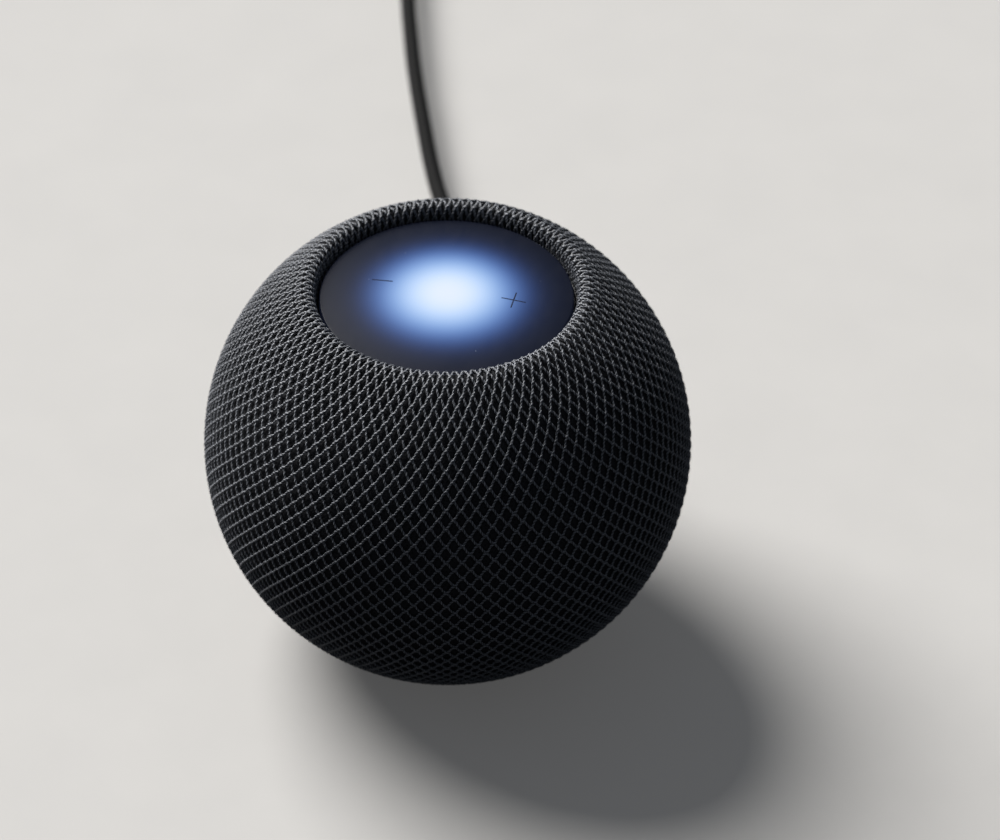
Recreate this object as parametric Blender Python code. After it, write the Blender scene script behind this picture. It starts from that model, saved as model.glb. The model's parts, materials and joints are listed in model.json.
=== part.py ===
"""Smart home hub: a ball-shaped speaker with a touch top, a knitted cover and a fixed cable.

Units are metres and +Z is up. The foot stands on Z = 0, -Y is the front and the cable leaves at +Y.
Outlines are lists of (radius, height) points in millimetres, turned about an axis.
"""

import math

import bmesh
import bpy
from mathutils import Vector

MM = 0.001

# Driving dimensions, in millimetres and degrees.
BALL_CENTRE_Z = 44.5
COVER_RADIUS = 48.95
COVER_THICKNESS = 1.8
COVER_FOOT_ANGLE = 154.0
RIM_CREST_R = 27.5
RIM_CREST_Z = 84.2
RIM_ROLL_R = 3.44
RIM_MOUTH_R = 25.6
RIM_MOUTH_TOP_Z = 81.9
RIM_MOUTH_Z = 79.4
RIM_FOLD_THICKNESS = 1.2
DRAWSTRING_RING_R = 21.7
DRAWSTRING_Z = 3.6
DRAWSTRING_R = 0.5
HOUSING_RADIUS = 46.8
HOUSING_WALL = 2.4
GAP = 0.3

LENS_R = 25.0
LENS_BOTTOM_Z = 79.2
LENS_EDGE_Z = 81.3
LENS_APEX_Z = 82.9

DECK_Z = 75.2
DECK_THICKNESS = 2.1
LIGHT_WELL_R = 16.5
SPLIT_Z = 64.0
SEAL_R = 41.3
SEAL_WIDTH = 0.8
CEILING_THICKNESS = 1.8
FLOOR_Z = 19.5
FLOOR_THICKNESS = 2.4
DRIVER_HOLE_R = 26.2

BOARD_Z = 65.6
BOARD_THICKNESS = 1.4
BOARD_R = 36.0
LED_BOARD_Z = 72.4
LED_BOARD_R = 21.0
LED_BOARD_THICKNESS = 1.2
LED_SIZE = (2.0, 2.0, 0.8)
LED_RING_R = 7.0
LED_COUNT = 5
DIFFUSER_R = 15.8
DIFFUSER_Z = 77.6
DIFFUSER_THICKNESS = 0.7
MICROPHONE_RING_R = 18.4
MICROPHONE_SIZE = (2.65, 3.5, 0.9)

FLANGE_R = 30.4
FLANGE_Z = 16.4
MOTOR_R = 17.5
MOTOR_BOTTOM_Z = 30.7
FRONT_PLATE_THICKNESS = 2.5
MAGNET_THICKNESS = 6.5
BACK_PLATE_THICKNESS = 3.0
POLE_R = 9.0
FORMER_R = 9.85
FORMER_WALL = 0.45
DRIVER_CONE_R = 19.4
CONE_NECK_R = 10.2
CONE_RISE = 7.6
CONE_THICKNESS = 0.8
DRIVER_SCREW_RING_R = 28.4

RADIATOR_X = 38.9
RADIATOR_Z = 41.5
RADIATOR_PLATE_R = 11.3
RADIATOR_HOLE_R = 16.5
RADIATOR_FRAME_R = 20.0
RADIATOR_POCKET_R = 20.8

FOOT_R = 19.4
FOOT_THICKNESS = 1.8
BASE_PLATE_Z = 2.1
BASE_SCREW_RING_R = 17.3
SCREW_SHANK_R = 1.0
SCREW_HEAD_R = 1.9

CABLE_R = 1.8
CABLE_EXIT_Z = 28.0
CABLE_INNER_Y = 29.0
CABLE_REST_Z = 6.0
COLLAR_R = 3.4
PLUG_LENGTH = 20.0
PLUG_WIDTH = 10.6
PLUG_HEIGHT = 5.8
PLUG_SHELL_LENGTH = 6.6
PLUG_SHELL_WIDTH = 8.3
PLUG_SHELL_HEIGHT = 2.6
PLUG_SHELL_WALL = 0.35

# How many flat sides a round piece has.
COVER_SIDES = 40
HOUSING_SIDES = 32
PIECE_SIDES = 24
SMALL_SIDES = 8


# ---------------------------------------------------------------- scene and materials


def clear_scene():
    for item in list(bpy.data.objects):
        bpy.data.objects.remove(item)


def material(name, colour, roughness, metallic=0.0):
    made = bpy.data.materials.new(name)
    made.use_nodes = True
    shader = made.node_tree.nodes["Principled BSDF"]
    shader.inputs["Base Color"].default_value = (*colour, 1.0)
    shader.inputs["Roughness"].default_value = roughness
    shader.inputs["Metallic"].default_value = metallic
    return made


def make_materials():
    return {
        "knit": material("grey_knit", (0.045, 0.045, 0.05), 0.9),
        "cord": material("black_cord", (0.012, 0.012, 0.014), 0.8),
        "glass": material("dark_glass", (0.02, 0.022, 0.035), 0.12),
        "film": material("sensor_film", (0.35, 0.33, 0.25), 0.3),
        "diffuser": material("milky_diffuser", (0.85, 0.86, 0.9), 0.5),
        "black_plastic": material("black_plastic", (0.015, 0.015, 0.017), 0.5),
        "grey_plastic": material("grey_plastic", (0.06, 0.06, 0.065), 0.55),
        "foam": material("black_foam", (0.02, 0.02, 0.02), 0.95),
        "silicone": material("grey_silicone", (0.09, 0.09, 0.1), 0.7),
        "rubber": material("black_rubber", (0.018, 0.018, 0.018), 0.65),
        "board": material("green_board", (0.01, 0.09, 0.045), 0.4),
        "chip": material("chip_plastic", (0.02, 0.02, 0.022), 0.45),
        "led": material("led_package", (0.9, 0.88, 0.75), 0.35),
        "tin": material("tinned_steel", (0.62, 0.62, 0.6), 0.3, 1.0),
        "aluminium": material("plain_aluminium", (0.72, 0.73, 0.75), 0.35, 1.0),
        "steel": material("plated_steel", (0.5, 0.5, 0.52), 0.35, 1.0),
        "ferrite": material("magnet_ferrite", (0.05, 0.05, 0.055), 0.6),
        "paper": material("cone_paper", (0.03, 0.03, 0.03), 0.85),
        "spider_cloth": material("spider_cloth", (0.55, 0.36, 0.16), 0.85),
        "polyimide": material("polyimide_film", (0.5, 0.24, 0.05), 0.35),
        "copper": material("coil_copper", (0.6, 0.25, 0.12), 0.35, 1.0),
        "screw": material("black_screw", (0.05, 0.05, 0.055), 0.4, 1.0),
    }


# ---------------------------------------------------------------- modelling helpers


def put_in_scene(name, mesh_builder, finish, at=(0, 0, 0), turn=(0, 0, 0), parent=None):
    """Makes the named object from a bmesh and frees the bmesh. Positions are in millimetres."""
    bmesh.ops.recalc_face_normals(mesh_builder, faces=mesh_builder.faces)
    mesh = bpy.data.meshes.new(name)
    mesh_builder.to_mesh(mesh)
    mesh_builder.free()
    mesh.shade_smooth()
    mesh.set_sharp_from_angle(angle=math.radians(32))
    if finish:
        mesh.materials.append(finish)
    item = bpy.data.objects.new(name, mesh)
    bpy.context.scene.collection.objects.link(item)
    item.location = Vector(at) * MM
    item.rotation_euler = [math.radians(angle) for angle in turn]
    item.parent = parent
    return item


def turned(outline, sides):
    """The bmesh of an outline spun about Z. It is closed unless its ends lie on the axis."""
    made = bmesh.new()
    ring = [made.verts.new((r * MM, 0, z * MM)) for r, z in outline]
    pairs = list(zip(ring, ring[1:]))
    if outline[0][0] > 0:
        pairs.append((ring[-1], ring[0]))
    edges = [made.edges.new(pair) for pair in pairs]
    bmesh.ops.spin(
        made,
        geom=ring + edges,
        axis=(0, 0, 1),
        cent=(0, 0, 0),
        angle=math.tau,
        steps=sides,
        use_merge=True,
    )
    bmesh.ops.remove_doubles(made, verts=made.verts, dist=1e-7)
    return made


def turn(name, outline, finish, sides=PIECE_SIDES, **place):
    return put_in_scene(name, turned(outline, sides), finish, **place)


def tube_outline(inner, outer, bottom, top):
    return [(inner, bottom), (outer, bottom), (outer, top), (inner, top)]


def disc_outline(radius, bottom, top):
    return [(0, bottom), (radius, bottom), (radius, top), (0, top)]


def block(name, size, finish, rounding=0.0, **place):
    """A box, centred on its origin, with rounded edges."""
    made = bmesh.new()
    bmesh.ops.create_cube(made, size=1.0)
    bmesh.ops.scale(made, vec=Vector(size) * MM, verts=made.verts)
    if rounding:
        bmesh.ops.bevel(
            made,
            geom=made.edges[:],
            offset=rounding * MM,
            segments=2,
            profile=0.5,
            affect="EDGES",
        )
    return put_in_scene(name, made, finish, **place)


def prism(name, outline, width, finish, **place):
    """An outline of (x, z) points given an even width along Y, centred on the XZ plane."""
    made = bmesh.new()
    corners = [made.verts.new((x * MM, -width / 2 * MM, z * MM)) for x, z in outline]
    face = made.faces.new(corners)
    grown = bmesh.ops.extrude_face_region(made, geom=[face])
    moved = [part for part in grown["geom"] if isinstance(part, bmesh.types.BMVert)]
    bmesh.ops.translate(made, verts=moved, vec=(0, width * MM, 0))
    return put_in_scene(name, made, finish, **place)


def combine(item, helper, operation, solver):
    """Cuts a helper from the item, or joins it on, and hides the helper."""
    change = item.modifiers.new(helper.name, "BOOLEAN")
    change.operation = operation
    change.solver = solver
    change.object = helper
    helper.hide_render = True
    helper.display_type = "WIRE"


def cut(item, *helpers, solver="EXACT"):
    for helper in helpers:
        combine(item, helper, "DIFFERENCE", solver)


def join(item, *helpers, solver="EXACT"):
    for helper in helpers:
        combine(item, helper, "UNION", solver)


def around(count, ring_radius, first_angle=0.0):
    """(angle, x, y) of evenly spaced places on a circle."""
    places = []
    for index in range(count):
        angle = first_angle + 360.0 * index / count
        x = ring_radius * math.cos(math.radians(angle))
        y = ring_radius * math.sin(math.radians(angle))
        places.append((angle, x, y))
    return places


def on_ball(radius, angle):
    """(radius, height) of a point on a sphere about the ball's centre, by its angle from the top."""
    bend = math.radians(angle)
    return radius * math.sin(bend), BALL_CENTRE_Z + radius * math.cos(bend)


def ball_angle(radius, height):
    """The angle from the top at which a sphere about the ball's centre reaches a height."""
    return math.degrees(math.acos((height - BALL_CENTRE_Z) / radius))


def spaced(first, last, count):
    """Evenly spaced values from first to last, both included."""
    return [first + (last - first) * step / (count - 1) for step in range(count)]


def ball_arc(radius, first_angle, last_angle, count):
    return [on_ball(radius, angle) for angle in spaced(first_angle, last_angle, count)]


def arc(centre_r, centre_z, radius_r, radius_z, first, last, count):
    """Points on an ellipse, by angle from straight up towards the outside."""
    points = []
    for angle in spaced(first, last, count):
        bend = math.radians(angle)
        points.append((centre_r + radius_r * math.sin(bend), centre_z + radius_z * math.cos(bend)))
    return points


# ---------------------------------------------------------------- cover


def roll_angle():
    """Where the ball's surface runs into the roll at the rim, as an angle from the top."""
    return math.degrees(math.atan2(RIM_CREST_R, RIM_CREST_Z - RIM_ROLL_R - BALL_CENTRE_Z))


def cover_outline():
    """The sock: over the ball, over the rim's roll, and down into the groove around the lens."""
    start = roll_angle()
    roll_z = RIM_CREST_Z - RIM_ROLL_R
    inner_radius = COVER_RADIUS - COVER_THICKNESS
    fold_r = RIM_ROLL_R - RIM_FOLD_THICKNESS
    mouth_fall = RIM_CREST_Z - RIM_MOUTH_TOP_Z
    outside = ball_arc(COVER_RADIUS, COVER_FOOT_ANGLE, start, 13)
    roll = arc(RIM_CREST_R, roll_z, RIM_ROLL_R, RIM_ROLL_R, start, 0, 3)[1:]
    mouth_r = RIM_CREST_R - RIM_MOUTH_R
    mouth = arc(RIM_CREST_R, RIM_CREST_Z - mouth_fall, mouth_r, mouth_fall, 0, -90, 3)[1:]
    tuck = [
        (RIM_MOUTH_R, RIM_MOUTH_Z),
        (RIM_MOUTH_R + RIM_FOLD_THICKNESS, RIM_MOUTH_Z),
        (RIM_MOUTH_R + RIM_FOLD_THICKNESS, RIM_CREST_Z - 2.2),
    ]
    under = arc(RIM_CREST_R + 0.5, roll_z - 0.1, fold_r, fold_r, 0, start, 3)[1:]
    inside = ball_arc(inner_radius, start + 3.0, COVER_FOOT_ANGLE, 11)
    hem_r, hem_z = on_ball(COVER_RADIUS - COVER_THICKNESS / 2, COVER_FOOT_ANGLE + 1.0)
    return outside + roll + mouth + tuck + under + inside + [(hem_r, hem_z)]


def make_cover(finish):
    cover = turn("knit_cover", cover_outline(), finish["knit"], COVER_SIDES)
    opening = turn(
        "cutter_cover_cable",
        disc_outline(COLLAR_R + GAP, 0, 20),
        None,
        SMALL_SIDES * 2,
        at=(0, COVER_RADIUS - 11, CABLE_EXIT_Z),
        turn=(-90, 0, 0),
    )
    cut(cover, opening)


def make_cover_fixings(finish):
    cord = arc(DRAWSTRING_RING_R, DRAWSTRING_Z, DRAWSTRING_R, DRAWSTRING_R, 0, 300, 6)
    turn("cover_drawstring", cord, finish["cord"])
    ring_top = RIM_MOUTH_Z - GAP
    turn(
        "cover_clamp_ring",
        tube_outline(
            LENS_R + 0.5,
            RIM_MOUTH_R + RIM_FOLD_THICKNESS,
            DECK_Z + DECK_THICKNESS + GAP,
            ring_top,
        ),
        finish["black_plastic"],
        HOUSING_SIDES,
    )


# ---------------------------------------------------------------- top


def make_lens(finish):
    rise = LENS_APEX_Z - LENS_EDGE_Z
    dome_radius = (LENS_R**2 + rise**2) / (2 * rise)
    edge_angle = math.degrees(math.asin((LENS_R - 0.4) / dome_radius))
    dome = arc(0, LENS_APEX_Z - dome_radius, dome_radius, dome_radius, 0, edge_angle, 6)
    rim = [(LENS_R, LENS_EDGE_Z - 0.35), (LENS_R, LENS_BOTTOM_Z + 0.3), (LENS_R - 0.3, LENS_BOTTOM_Z)]
    turn("touch_lens", dome + rim + [(0, LENS_BOTTOM_Z)], finish["glass"], HOUSING_SIDES)
    deck_top = DECK_Z + DECK_THICKNESS
    turn(
        "lens_gasket",
        tube_outline(22.6, 24.6, deck_top + GAP, LENS_BOTTOM_Z - GAP),
        finish["foam"],
    )
    sensor_top = LENS_BOTTOM_Z - GAP
    turn("touch_sensor", disc_outline(22.1, sensor_top - 0.3, sensor_top), finish["film"])


def make_light(finish):
    board_top = LED_BOARD_Z + LED_BOARD_THICKNESS
    turn("led_board", disc_outline(LED_BOARD_R, LED_BOARD_Z, board_top), finish["board"])
    turn(
        "light_baffle",
        tube_outline(DIFFUSER_R - 1.6, DIFFUSER_R, board_top + GAP, DECK_Z + DECK_THICKNESS),
        finish["black_plastic"],
    )
    diffuser = disc_outline(DIFFUSER_R, DIFFUSER_Z, DIFFUSER_Z + DIFFUSER_THICKNESS)
    turn("light_diffuser", diffuser, finish["diffuser"])
    places = [(0, 0, 0)] + around(LED_COUNT - 1, LED_RING_R, 45)
    for number, (angle, x, y) in enumerate(places, 1):
        block(
            f"led_{number}",
            LED_SIZE,
            finish["led"],
            at=(x, y, board_top + GAP + LED_SIZE[2] / 2),
            turn=(0, 0, angle),
        )


def make_microphones(finish):
    board_top = LED_BOARD_Z + LED_BOARD_THICKNESS
    width, length, height = MICROPHONE_SIZE
    for number, (angle, x, y) in enumerate(around(3, MICROPHONE_RING_R, 90), 1):
        block(
            f"microphone_{number}",
            MICROPHONE_SIZE,
            finish["tin"],
            at=(x, y, board_top + GAP + height / 2),
            turn=(0, 0, angle),
        )
    block(
        "microphone_4",
        (length, width, height),
        finish["tin"],
        at=(-24, -18, BOARD_Z - GAP - height / 2),
    )


# ---------------------------------------------------------------- case


def make_upper_housing(finish):
    """The cap of the case, with the deck under the lens and the lip that the cover rolls over."""
    inside_radius = HOUSING_RADIUS - HOUSING_WALL
    bottom = SPLIT_Z + 0.5
    lip_r = RIM_MOUTH_R + RIM_FOLD_THICKNESS + 0.4
    deck_top = DECK_Z + DECK_THICKNESS
    outside = ball_arc(HOUSING_RADIUS, ball_angle(HOUSING_RADIUS, bottom), 38.5, 6)
    lip = [(lip_r + 0.4, 80.6), (lip_r, 80.2), (lip_r, deck_top)]
    deck = [(LIGHT_WELL_R, deck_top), (LIGHT_WELL_R, DECK_Z)]
    deck_angle = ball_angle(inside_radius, DECK_Z)
    inside = ball_arc(inside_radius, deck_angle, ball_angle(inside_radius, bottom), 5)
    turn("upper_housing", outside + lip + deck + inside, finish["grey_plastic"], HOUSING_SIDES)


def lower_housing_outline():
    """From the top of the closed ceiling, down the outside, and back up the inside."""
    inside_radius = HOUSING_RADIUS - HOUSING_WALL
    floor_top = FLOOR_Z + FLOOR_THICKNESS
    ceiling = SPLIT_Z - CEILING_THICKNESS
    ledge_top = BOARD_Z - GAP
    ledge = [
        (0, SPLIT_Z),
        (BOARD_R - 3.0, SPLIT_Z),
        (BOARD_R - 3.0, ledge_top),
        (BOARD_R - 1.0, ledge_top),
        (BOARD_R - 1.0, SPLIT_Z),
    ]
    groove = [
        (SEAL_R - SEAL_WIDTH / 2 - GAP, SPLIT_Z),
        (SEAL_R - SEAL_WIDTH / 2 - GAP, SPLIT_Z - 1.0),
        (SEAL_R + SEAL_WIDTH / 2 + GAP, SPLIT_Z - 1.0),
        (SEAL_R + SEAL_WIDTH / 2 + GAP, SPLIT_Z),
    ]
    high = ball_angle(HOUSING_RADIUS, SPLIT_Z)
    low = ball_angle(HOUSING_RADIUS, FLOOR_Z)
    outside = ball_arc(HOUSING_RADIUS, high, low, 8)
    floor = [(DRIVER_HOLE_R, FLOOR_Z), (DRIVER_HOLE_R, floor_top)]
    inside = ball_arc(
        inside_radius,
        ball_angle(inside_radius, floor_top),
        ball_angle(inside_radius, ceiling),
        6,
    )
    return ledge + groove + outside + floor + inside + [(0, ceiling)]


def leg_outline():
    """A leg from the floor of the case in to the pad that the base screws into."""
    return [
        (15.0, 8.3),
        (20.0, 8.3),
        (34.4, 13.8),
        (34.6, FLOOR_Z + 1.0),
        (31.0, FLOOR_Z + 1.0),
        (31.0, 15.4),
        (20.0, 9.9),
        (15.0, 9.9),
    ]


def make_lower_housing(finish):
    """The sealed chamber: driver hole in the floor, a radiator opening each side, three legs below."""
    case = turn("lower_housing", lower_housing_outline(), finish["grey_plastic"], HOUSING_SIDES)
    face_x = RADIATOR_X - GAP
    boss = disc_outline(RADIATOR_POCKET_R + 0.6, 36.2, face_x + 0.8)
    pocket = [
        (0, 30),
        (RADIATOR_HOLE_R, 30),
        (RADIATOR_HOLE_R, face_x),
        (RADIATOR_POCKET_R, face_x),
        (RADIATOR_POCKET_R, 60),
        (0, 60),
    ]
    places = [
        {"at": (0, 0, RADIATOR_Z), "turn": (0, 90, 0)},
        {"at": (0, 0, RADIATOR_Z), "turn": (0, -90, 0)},
    ]
    for number, place in enumerate(places, 1):
        join(case, turn(f"join_boss_{number}", boss, None, HOUSING_SIDES, **place), solver="MANIFOLD")
    for number, (angle, _, _) in enumerate(around(3, 1, -90), 1):
        leg = prism(f"join_leg_{number}", leg_outline(), 6.0, None, turn=(0, 0, angle))
        join(case, leg, solver="MANIFOLD")
    for number, place in enumerate(places, 1):
        cut(case, turn(f"cutter_pocket_{number}", pocket, None, HOUSING_SIDES, **place), solver="MANIFOLD")
    for number, (_, x, y) in enumerate(around(3, BASE_SCREW_RING_R, -90), 1):
        cut(case, screw_hole(f"cutter_pad_{number}", x, y, 7, 11), solver="MANIFOLD")
    for number, (_, x, y) in enumerate(around(3, DRIVER_SCREW_RING_R, 90), 1):
        pilot = screw_hole(f"cutter_floor_{number}", x, y, FLOOR_Z - 1, FLOOR_Z + 1.8)
        cut(case, pilot, solver="MANIFOLD")
    cable_way = turn(
        "cutter_case_cable",
        disc_outline(COLLAR_R - 0.6 + GAP, 0, 20),
        None,
        SMALL_SIDES * 2,
        at=(0, 34, CABLE_EXIT_Z),
        turn=(-90, 0, 0),
    )
    ceiling_way = screw_hole("cutter_ceiling", 0, CABLE_INNER_Y, 60, 66, CABLE_R + GAP)
    cut(case, cable_way, ceiling_way, solver="MANIFOLD")
    turn(
        "housing_seal",
        tube_outline(
            SEAL_R - SEAL_WIDTH / 2,
            SEAL_R + SEAL_WIDTH / 2,
            SPLIT_Z - 0.7,
            SPLIT_Z + 0.2,
        ),
        finish["rubber"],
        HOUSING_SIDES,
    )


def screw_hole(name, x, y, bottom, top, radius=SCREW_SHANK_R + GAP):
    return turn(name, disc_outline(radius, bottom, top), None, SMALL_SIDES, at=(x, y, 0))


def make_screw(name, x, y, head_bottom, tip, finish):
    """A pan-head screw that points up, with its head at the bottom."""
    head_top = head_bottom + 0.8
    outline = [
        (0, head_bottom),
        (SCREW_HEAD_R - 0.3, head_bottom),
        (SCREW_HEAD_R, head_bottom + 0.3),
        (SCREW_HEAD_R, head_top),
        (SCREW_SHANK_R, head_top),
        (SCREW_SHANK_R, tip - 0.5),
        (SCREW_SHANK_R - 0.5, tip),
        (0, tip),
    ]
    turn(name, outline, finish["screw"], SMALL_SIDES, at=(x, y, 0))


# ---------------------------------------------------------------- electronics


def make_electronics(finish):
    board_top = BOARD_Z + BOARD_THICKNESS
    turn("main_board", disc_outline(BOARD_R, BOARD_Z, board_top), finish["board"])
    block(
        "processor_shield",
        (24, 18, 1.8),
        finish["tin"],
        rounding=0.3,
        at=(0, 4, board_top + GAP + 0.9),
    )
    hat_bottom = board_top + 2.4
    foot = board_top + GAP
    hat = [
        (0, hat_bottom),
        (29.0, hat_bottom),
        (31.4, foot),
        (33.6, foot),
        (33.6, foot + 0.9),
        (32.0, foot + 0.9),
        (29.6, hat_bottom + 1.0),
        (0, hat_bottom + 1.0),
    ]
    turn("heat_spreader", hat, finish["aluminium"])
    ribbon_top = LED_BOARD_Z - GAP
    ribbon = [
        (17.0, ribbon_top),
        (17.0, ribbon_top - 0.3),
        (29.5, ribbon_top - 0.3),
        (34.9, board_top + 2.3),
        (34.9, foot),
        (35.2, foot),
        (35.2, board_top + 2.5),
        (29.7, ribbon_top),
    ]
    prism("ribbon_cable", ribbon, 8.0, finish["polyimide"], turn=(0, 0, -90))
    block(
        "climate_sensor",
        (4.0, 3.0, 1.0),
        finish["chip"],
        at=(8, 33.5, FLOOR_Z - GAP - 0.5),
    )


# ---------------------------------------------------------------- driver


def basket_outline():
    ring_z = 29.2
    return [
        (23.4, FLANGE_Z),
        (FLANGE_R, FLANGE_Z),
        (FLANGE_R, FLANGE_Z + 1.5),
        (25.8, FLANGE_Z + 1.5),
        (22.9, 26.0),
        (22.9, ring_z + 1.2),
        (11.2, ring_z + 1.2),
        (11.2, ring_z),
        (21.7, ring_z),
        (21.7, 26.9),
        (18.9, 26.9),
        (18.9, 26.0),
        (21.6, 26.0),
        (24.5, FLANGE_Z + 1.2),
        (23.4, FLANGE_Z + 1.2),
    ]


def make_driver_frame(finish):
    basket = turn("driver_basket", basket_outline(), finish["black_plastic"])
    for number, (angle, _, _) in enumerate(around(3, 1, 30), 1):
        window = block(
            f"cutter_window_{number}",
            (70, 9, 5.6),
            None,
            at=(0, 0, 22.4),
            turn=(0, 0, angle),
        )
        cut(basket, window, solver="MANIFOLD")
    gasket = turn(
        "driver_gasket",
        tube_outline(26.8, FLANGE_R - 0.2, FLANGE_Z + 1.8, FLOOR_Z - GAP),
        finish["foam"],
    )
    for number, (_, x, y) in enumerate(around(3, DRIVER_SCREW_RING_R, 90), 1):
        flange_hole = screw_hole(f"cutter_flange_{number}", x, y, FLANGE_Z - 1, FLANGE_Z + 3)
        cut(basket, flange_hole, solver="MANIFOLD")
        gasket_hole = screw_hole(f"cutter_gasket_{number}", x, y, FLANGE_Z + 1, FLOOR_Z + 1)
        cut(gasket, gasket_hole, solver="MANIFOLD")
        make_screw(
            f"driver_screw_{number}",
            x,
            y,
            FLANGE_Z - GAP - 0.8,
            FLOOR_Z + 1.5,
            finish,
        )


def make_motor(finish):
    """The magnet between its two plates, with the pole piece inside the voice coil."""
    bottom = MOTOR_BOTTOM_Z
    magnet_bottom = bottom + FRONT_PLATE_THICKNESS + GAP
    magnet_top = magnet_bottom + MAGNET_THICKNESS
    yoke_bottom = magnet_top + GAP
    yoke_top = yoke_bottom + BACK_PLATE_THICKNESS
    ring = tube_outline(10.6, MOTOR_R, bottom, bottom + FRONT_PLATE_THICKNESS)
    turn("front_plate", ring, finish["steel"])
    turn("driver_magnet", tube_outline(12.0, MOTOR_R, magnet_bottom, magnet_top), finish["ferrite"])
    yoke = [
        (0, bottom),
        (POLE_R, bottom),
        (POLE_R, yoke_bottom),
        (MOTOR_R, yoke_bottom),
        (MOTOR_R, yoke_top),
        (0, yoke_top),
    ]
    turn("back_plate", yoke, finish["steel"])


def roll_outline(inner_land, inner, outer, outer_land, base, height, thickness):
    """A half-roll suspension: a land each side of an arch that bulges towards positive height."""
    middle = (inner + outer) / 2
    half = (outer - inner) / 2
    arch_out = arc(middle, base + thickness, half, height, -90, 90, 5)
    arch_in = arc(middle, base, half - thickness, height, 90, -90, 5)
    lands_out = [(outer_land, base + thickness), (outer_land, base)]
    lands_in = [(inner_land, base), (inner_land, base + thickness)]
    return arch_out + lands_out + arch_in + lands_in


def make_moving_cone(finish, cone_axis):
    """The pieces that slide on the driver's axis, and the soft pieces that hold them."""
    cone_neck_z = FLANGE_Z + CONE_RISE
    cone = [
        (CONE_NECK_R, cone_neck_z),
        (DRIVER_CONE_R, FLANGE_Z),
        (DRIVER_CONE_R, FLANGE_Z + CONE_THICKNESS),
        (CONE_NECK_R, cone_neck_z + CONE_THICKNESS),
    ]
    turn("driver_cone", cone, finish["paper"], parent=cone_axis)
    dome_out = arc(0, 22.6, 11.3, 2.8, 180, 94, 4)
    dome_in = arc(0, 22.6, 10.7, 2.3, 94, 180, 4)
    turn("dust_cap", dome_out + dome_in, finish["paper"], parent=cone_axis)
    former_bore = FORMER_R - FORMER_WALL
    winding_r = FORMER_R + 0.4
    winding_bottom, winding_top = 30.2, 33.6
    former_bottom, former_top = 24.3, 36.0
    former = [
        (former_bore, former_bottom),
        (FORMER_R, former_bottom),
        (FORMER_R, winding_bottom),
        (winding_r, winding_bottom),
        (winding_r, winding_top),
        (FORMER_R, winding_top),
        (FORMER_R, former_top),
        (former_bore, former_top),
    ]
    turn("voice_coil", former, finish["copper"], parent=cone_axis)


def make_suspension(finish):
    land_z = FLANGE_Z - GAP
    outline = roll_outline(18.4, 19.6, 23.8, 25.6, 0, 1.9, 0.5)
    flipped = [(r, land_z - z) for r, z in outline]
    turn("cone_surround", flipped, finish["rubber"])
    wave = []
    for r in spaced(11.6, 18.4, 7):
        wave.append((r, 27.3 + 0.45 * math.sin((r - 11.6) / 3.4 * math.tau)))
    top = [(r, z + 0.4) for r, z in reversed(wave)]
    outer_land = [(20.9, 27.3), (20.9, 27.7)]
    inner_land_top = [(10.5, 27.7), (10.5, 27.3)]
    turn("spider", wave + outer_land + top + inner_land_top, finish["spider_cloth"])


def make_waveguide(finish):
    """The bell under the driver that turns the sound outwards, all round."""
    edge_r, bottom_z = 23.0, 6.6
    edge_height, bell_height, bell_r = 0.9, 9.3, 9.0
    bell = []
    for r in spaced(0, edge_r, 10):
        bell.append((r, bottom_z + edge_height + bell_height * math.exp(-((r / bell_r) ** 2))))
    guide = turn("waveguide", bell + [(edge_r, bottom_z), (0, bottom_z)], finish["black_plastic"])
    for number, (_, x, y) in enumerate(around(3, BASE_SCREW_RING_R, -90), 1):
        cut(guide, screw_hole(f"cutter_guide_{number}", x, y, 5, 12))


# ---------------------------------------------------------------- radiators


def make_radiators(finish):
    """A passive radiator each side. Local +Z points outwards, along the radiator's own axis."""
    for side, sign in (("right", 1), ("left", -1)):
        axis = bpy.data.objects.new(f"radiator_axis_{side}", None)
        bpy.context.scene.collection.objects.link(axis)
        axis.location = Vector((sign * RADIATOR_X, 0, RADIATOR_Z)) * MM
        axis.rotation_euler = (0, math.radians(90 * sign), 0)
        frame = tube_outline(RADIATOR_HOLE_R + 0.4, RADIATOR_FRAME_R, 0, 1.3)
        turn(f"radiator_frame_{side}", frame, finish["black_plastic"], parent=axis)
        roll_out = RADIATOR_HOLE_R - 0.5
        roll = roll_outline(RADIATOR_PLATE_R + 0.3, 12.2, roll_out, RADIATOR_HOLE_R + 0.1, 0.2, 1.9, 0.5)
        turn(f"radiator_surround_{side}", roll, finish["rubber"], parent=axis)
        plate = [
            (0, 0.0),
            (RADIATOR_PLATE_R, 0.0),
            (RADIATOR_PLATE_R, 1.0),
            (RADIATOR_PLATE_R - 0.4, 1.4),
            (RADIATOR_PLATE_R - 2.2, 1.4),
            (RADIATOR_PLATE_R - 2.8, 0.9),
            (0, 0.9),
        ]
        turn(f"radiator_plate_{side}", plate, finish["aluminium"], parent=axis)


# ---------------------------------------------------------------- base


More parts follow.
